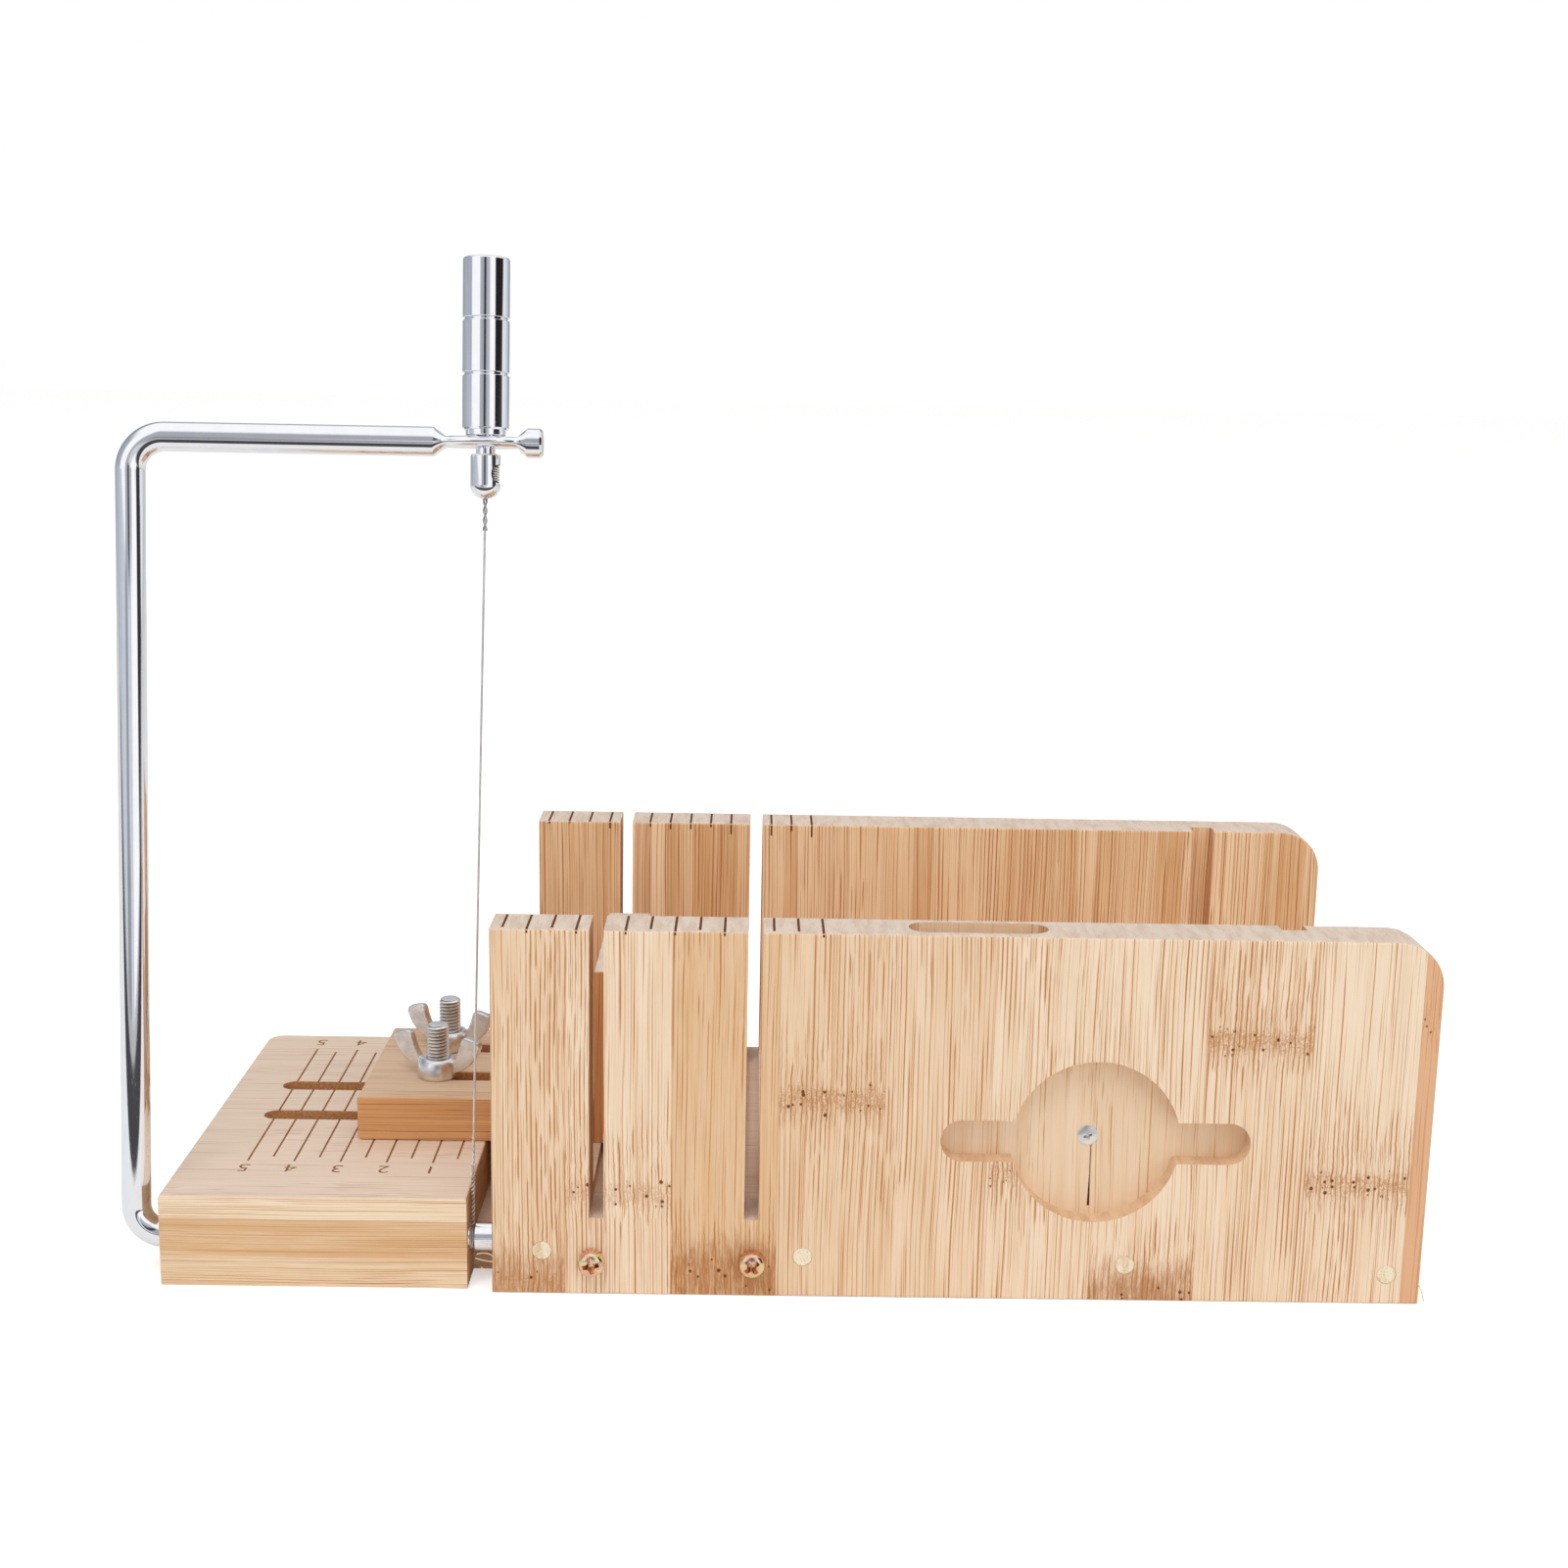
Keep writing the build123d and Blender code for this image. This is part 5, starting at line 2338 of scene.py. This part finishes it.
@dataclass
class Studio:
    """Floor, lights, background and camera."""

    # The photograph's camera: focal length in pixels, place in millimetres, angles in radians
    focal_pixels: float = 2151.84
    picture_pixels: float = 1601.0
    sensor: float = 36.0
    eye: Point = (54.937, -465.958, 194.627)
    pitch: float = 0.20403
    yaw: float = -0.01563
    roll: float = 0.01952
    # What shiny parts mirror low down and higher up, as degrees round the object with colours
    low_room: tuple[tuple[float, Colour], ...] = (
        (-180, GREY_BLUE), (180, GREY_BLUE), (-150, (0.3, 0.33, 0.37)), (-80, GREY_BLUE),
        (-34, (0.62, 0.65, 0.7)), (-28, (0.3, 0.32, 0.35)), (-14, (0.32, 0.34, 0.37)),
        (-9, (0.66, 0.68, 0.72)), (12, (0.62, 0.64, 0.68)), (18, WHITE), (58, WHITE),
        (63, (0.03, 0.028, 0.03)), (90, (0.05, 0.045, 0.05)), (98, BRIGHT),
        (130, (0.6, 0.63, 0.68)), (150, (0.3, 0.32, 0.36)),
    )
    high_room: tuple[tuple[float, Colour], ...] = (
        (-180, GREY_BLUE), (180, GREY_BLUE), (-150, (0.24, 0.27, 0.31)), (-80, (0.42, 0.45, 0.5)),
        (-71, (0.4, 0.43, 0.48)), (-66, WHITE), (-26, WHITE), (-21, SOFT_GREY),
        (-6, (0.38, 0.39, 0.42)), (-3, (0.05, 0.05, 0.06)), (5, (0.06, 0.06, 0.07)), (9, SOFT_GREY),
        (23, (0.5, 0.51, 0.54)), (28, WHITE), (50, WHITE), (55, (0.015, 0.013, 0.015)),
        (95, (0.02, 0.018, 0.02)), (102, BRIGHT), (138, (0.7, 0.72, 0.76)), (150, (0.25, 0.27, 0.3)),
    )
    room_split: Corner = (0.11, 0.14)
    ceiling: Corner = (0.55, 0.8)
    # A darker patch ahead on the horizon: its middle and its soft edge, upwards and in radians round
    patch_rise: Point = (0.12, 0.11, 0.14)
    patch_round: Point = (0.227, 0.12, 0.17)
    patch_share: float = 0.8
    patch_colour: Colour = (0.3, 0.3, 0.32)
    floor_size: float = 8.0
    floor_place: Point = (0.0, 3.25, 0.0)
    # Where the floor that shiny parts mirror darkens, in millimetres along Y
    dark_floor: tuple[float, float, float, float] = (-560, -500, -225, -195)
    dark_colour: Colour = (0.07, 0.065, 0.07)
    seen_glow: Colour = (0.45, 0.45, 0.45)
    daylight: Colour = (1.0, 0.995, 0.99)
    day_strength: float = 0.58
    lamps: tuple[Lamp, ...] = (
        Lamp("key", (-0.3, -0.9, 1.7), 1.0, 11.0),
        Lamp("fill", (1.1, -1.2, 0.7), 1.2, 3.2),
        Lamp("back", (0.1, 1.2, 1.3), 1.2, 2.0),
    )
    aim: Point = (0.06, 0.0, 0.05)

    def build(self) -> None:
        """Build the whole studio."""
        self.floor()
        self.world()
        self.lights()
        self.camera()
        bpy.context.scene.view_settings.view_transform = "Standard"

    def floor(self) -> None:
        """Lay a pale floor that keeps the object's shadow."""
        bpy.ops.mesh.primitive_plane_add(size=self.floor_size, location=self.floor_place)
        floor = named_new("floor")
        material, net, shader = blank_material("pale_floor")
        place = millimetres(net)
        cloud = net.noise(place, 0.004, 2.0, 0.5)
        pale = net.mix(cloud, (0.93, 0.93, 0.93), (0.95, 0.95, 0.95))
        depth = net.node("ShaderNodeSeparateXYZ", {0: place}).outputs[1]
        first, full, last, none = self.dark_floor
        begun, ended = net.between(depth, first, full, 0.5, 1.0), net.between(depth, last, none, 1.0, 0.0)
        front = net.times(begun, ended)
        rays = net.node("ShaderNodeLightPath")
        mirrored = net.times(front, rays.outputs["Is Glossy Ray"])
        net.feed(shader.inputs["Base Color"], net.mix(mirrored, pale, self.dark_colour))
        shader.inputs["Roughness"].default_value = 0.9
        shader.inputs["Specular IOR Level"].default_value = 0.0
        glow = net.mix(rays.outputs["Is Camera Ray"], (0.0, 0.0, 0.0), self.seen_glow)
        net.feed(shader.inputs["Emission Color"], glow)
        shader.inputs["Emission Strength"].default_value = 1.0
        floor.data.materials.append(material)

    def world(self) -> None:
        """Light the room softly, white where it is seen."""
        world = bpy.data.worlds.new("studio")
        bpy.context.scene.world = world
        world.use_nodes = True
        net = Net(world.node_tree)
        world.node_tree.nodes.clear()
        rays = net.node("ShaderNodeLightPath")
        way = net.node("ShaderNodeTexCoord").outputs["Generated"]
        parts = net.node("ShaderNodeSeparateXYZ", {0: way}).outputs
        angle = net.math("ARCTAN2", parts[0], net.times(parts[1], -1.0))
        share = net.math("MULTIPLY_ADD", angle, 1 / TURN, 0.5)
        rooms = []
        for stated in (self.low_room, self.high_room):
            ramp = net.node("ShaderNodeValToRGB", {0: share})
            stops = ramp.color_ramp.elements
            for number, (degrees, colour) in enumerate(stated):
                where = degrees / 360 + 0.5
                stop = stops[number] if number < 2 else stops.new(where)
                stop.position = where
                stop.color = (*colour, 1.0)
            rooms.append(ramp.outputs[0])
        room = net.mix(net.between(parts[2], *self.room_split), *rooms)
        sides = []
        for value, (middle, near, far) in ((parts[2], self.patch_rise), (angle, self.patch_round)):
            off = net.math("ABSOLUTE", net.math("ADD", value, middle))
            sides.append(net.between(off, near, far, 1.0, 0.0))
        patch = net.times(net.times(*sides), self.patch_share)
        room = net.mix(patch, room, self.patch_colour)
        room = net.mix(net.between(parts[2], *self.ceiling), room, WHITE)
        soft = net.node("ShaderNodeBackground", {"Color": self.daylight, "Strength": self.day_strength})
        shiny = net.node("ShaderNodeBackground", {"Color": room, "Strength": 1.0})
        seen = net.node("ShaderNodeBackground", {"Color": WHITE, "Strength": 1.0})
        gloss = net.math("MAXIMUM", rays.outputs["Is Glossy Ray"], rays.outputs["Is Transmission Ray"])
        first = net.node("ShaderNodeMixShader", {0: gloss, 1: soft.outputs[0], 2: shiny.outputs[0]})
        camera = rays.outputs["Is Camera Ray"]
        last = net.node("ShaderNodeMixShader", {0: camera, 1: first.outputs[0], 2: seen.outputs[0]})
        net.node("ShaderNodeOutputWorld", {0: last.outputs[0]})

    def lights(self) -> None:
        """Hang the soft lamps, two in front and one behind."""
        for lamp in self.lamps:
            bpy.ops.object.light_add(type="AREA", location=lamp.place)
            light = bpy.context.object
            light.name = lamp.name
            light.data.size = lamp.width
            light.data.energy = lamp.power
            light.visible_glossy = False
            way = Vector(self.aim) - Vector(lamp.place)
            light.rotation_euler = way.to_track_quat("-Z", "Y").to_euler()

    def camera(self) -> None:
        """Set the camera where the photograph was taken from."""
        turns = zip((self.pitch, self.yaw, self.roll), "XYZ")
        tip, swing, bank = (Matrix.Rotation(angle, 3, axis) for angle, axis in turns)
        swap = Matrix(((1, 0, 0), (0, 0, -1), (0, 1, 0)))
        rows = bank @ tip @ swing @ swap
        turn = Matrix((rows[0], -rows[1], -rows[2])).transposed()
        bpy.ops.object.camera_add()
        camera = bpy.context.object
        camera.matrix_world = Matrix.Translation(Vector(self.eye) * MM) @ turn.to_4x4()
        camera.data.sensor_fit = "HORIZONTAL"
        camera.data.sensor_width = self.sensor
        camera.data.lens = self.focal_pixels * self.sensor / self.picture_pixels
        camera.data.clip_start = 0.01
        camera.data.clip_end = 20.0
        bpy.context.scene.camera = camera


def main() -> None:
    """Build the cutter's pieces in order, then the studio."""
    logging.basicConfig(level=logging.INFO, format="%(message)s")
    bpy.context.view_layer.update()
    Walls().build()
    MeasuringBoard().build()
    Fasteners().build()
    Splinters().build()
    Stop().build()
    for name, row in zip(("front", "rear"), Stop().rows):
        Clamp(name, row).build()
    arm_frame = ArmFrame()
    CuttingArm(arm_frame).build()
    TensionKnob(arm_frame).build()
    WireHook(arm_frame).build()
    CuttingWire(arm_frame).build()
    Studio().build()
    deselect()


if __name__ == "__main__":
    main()
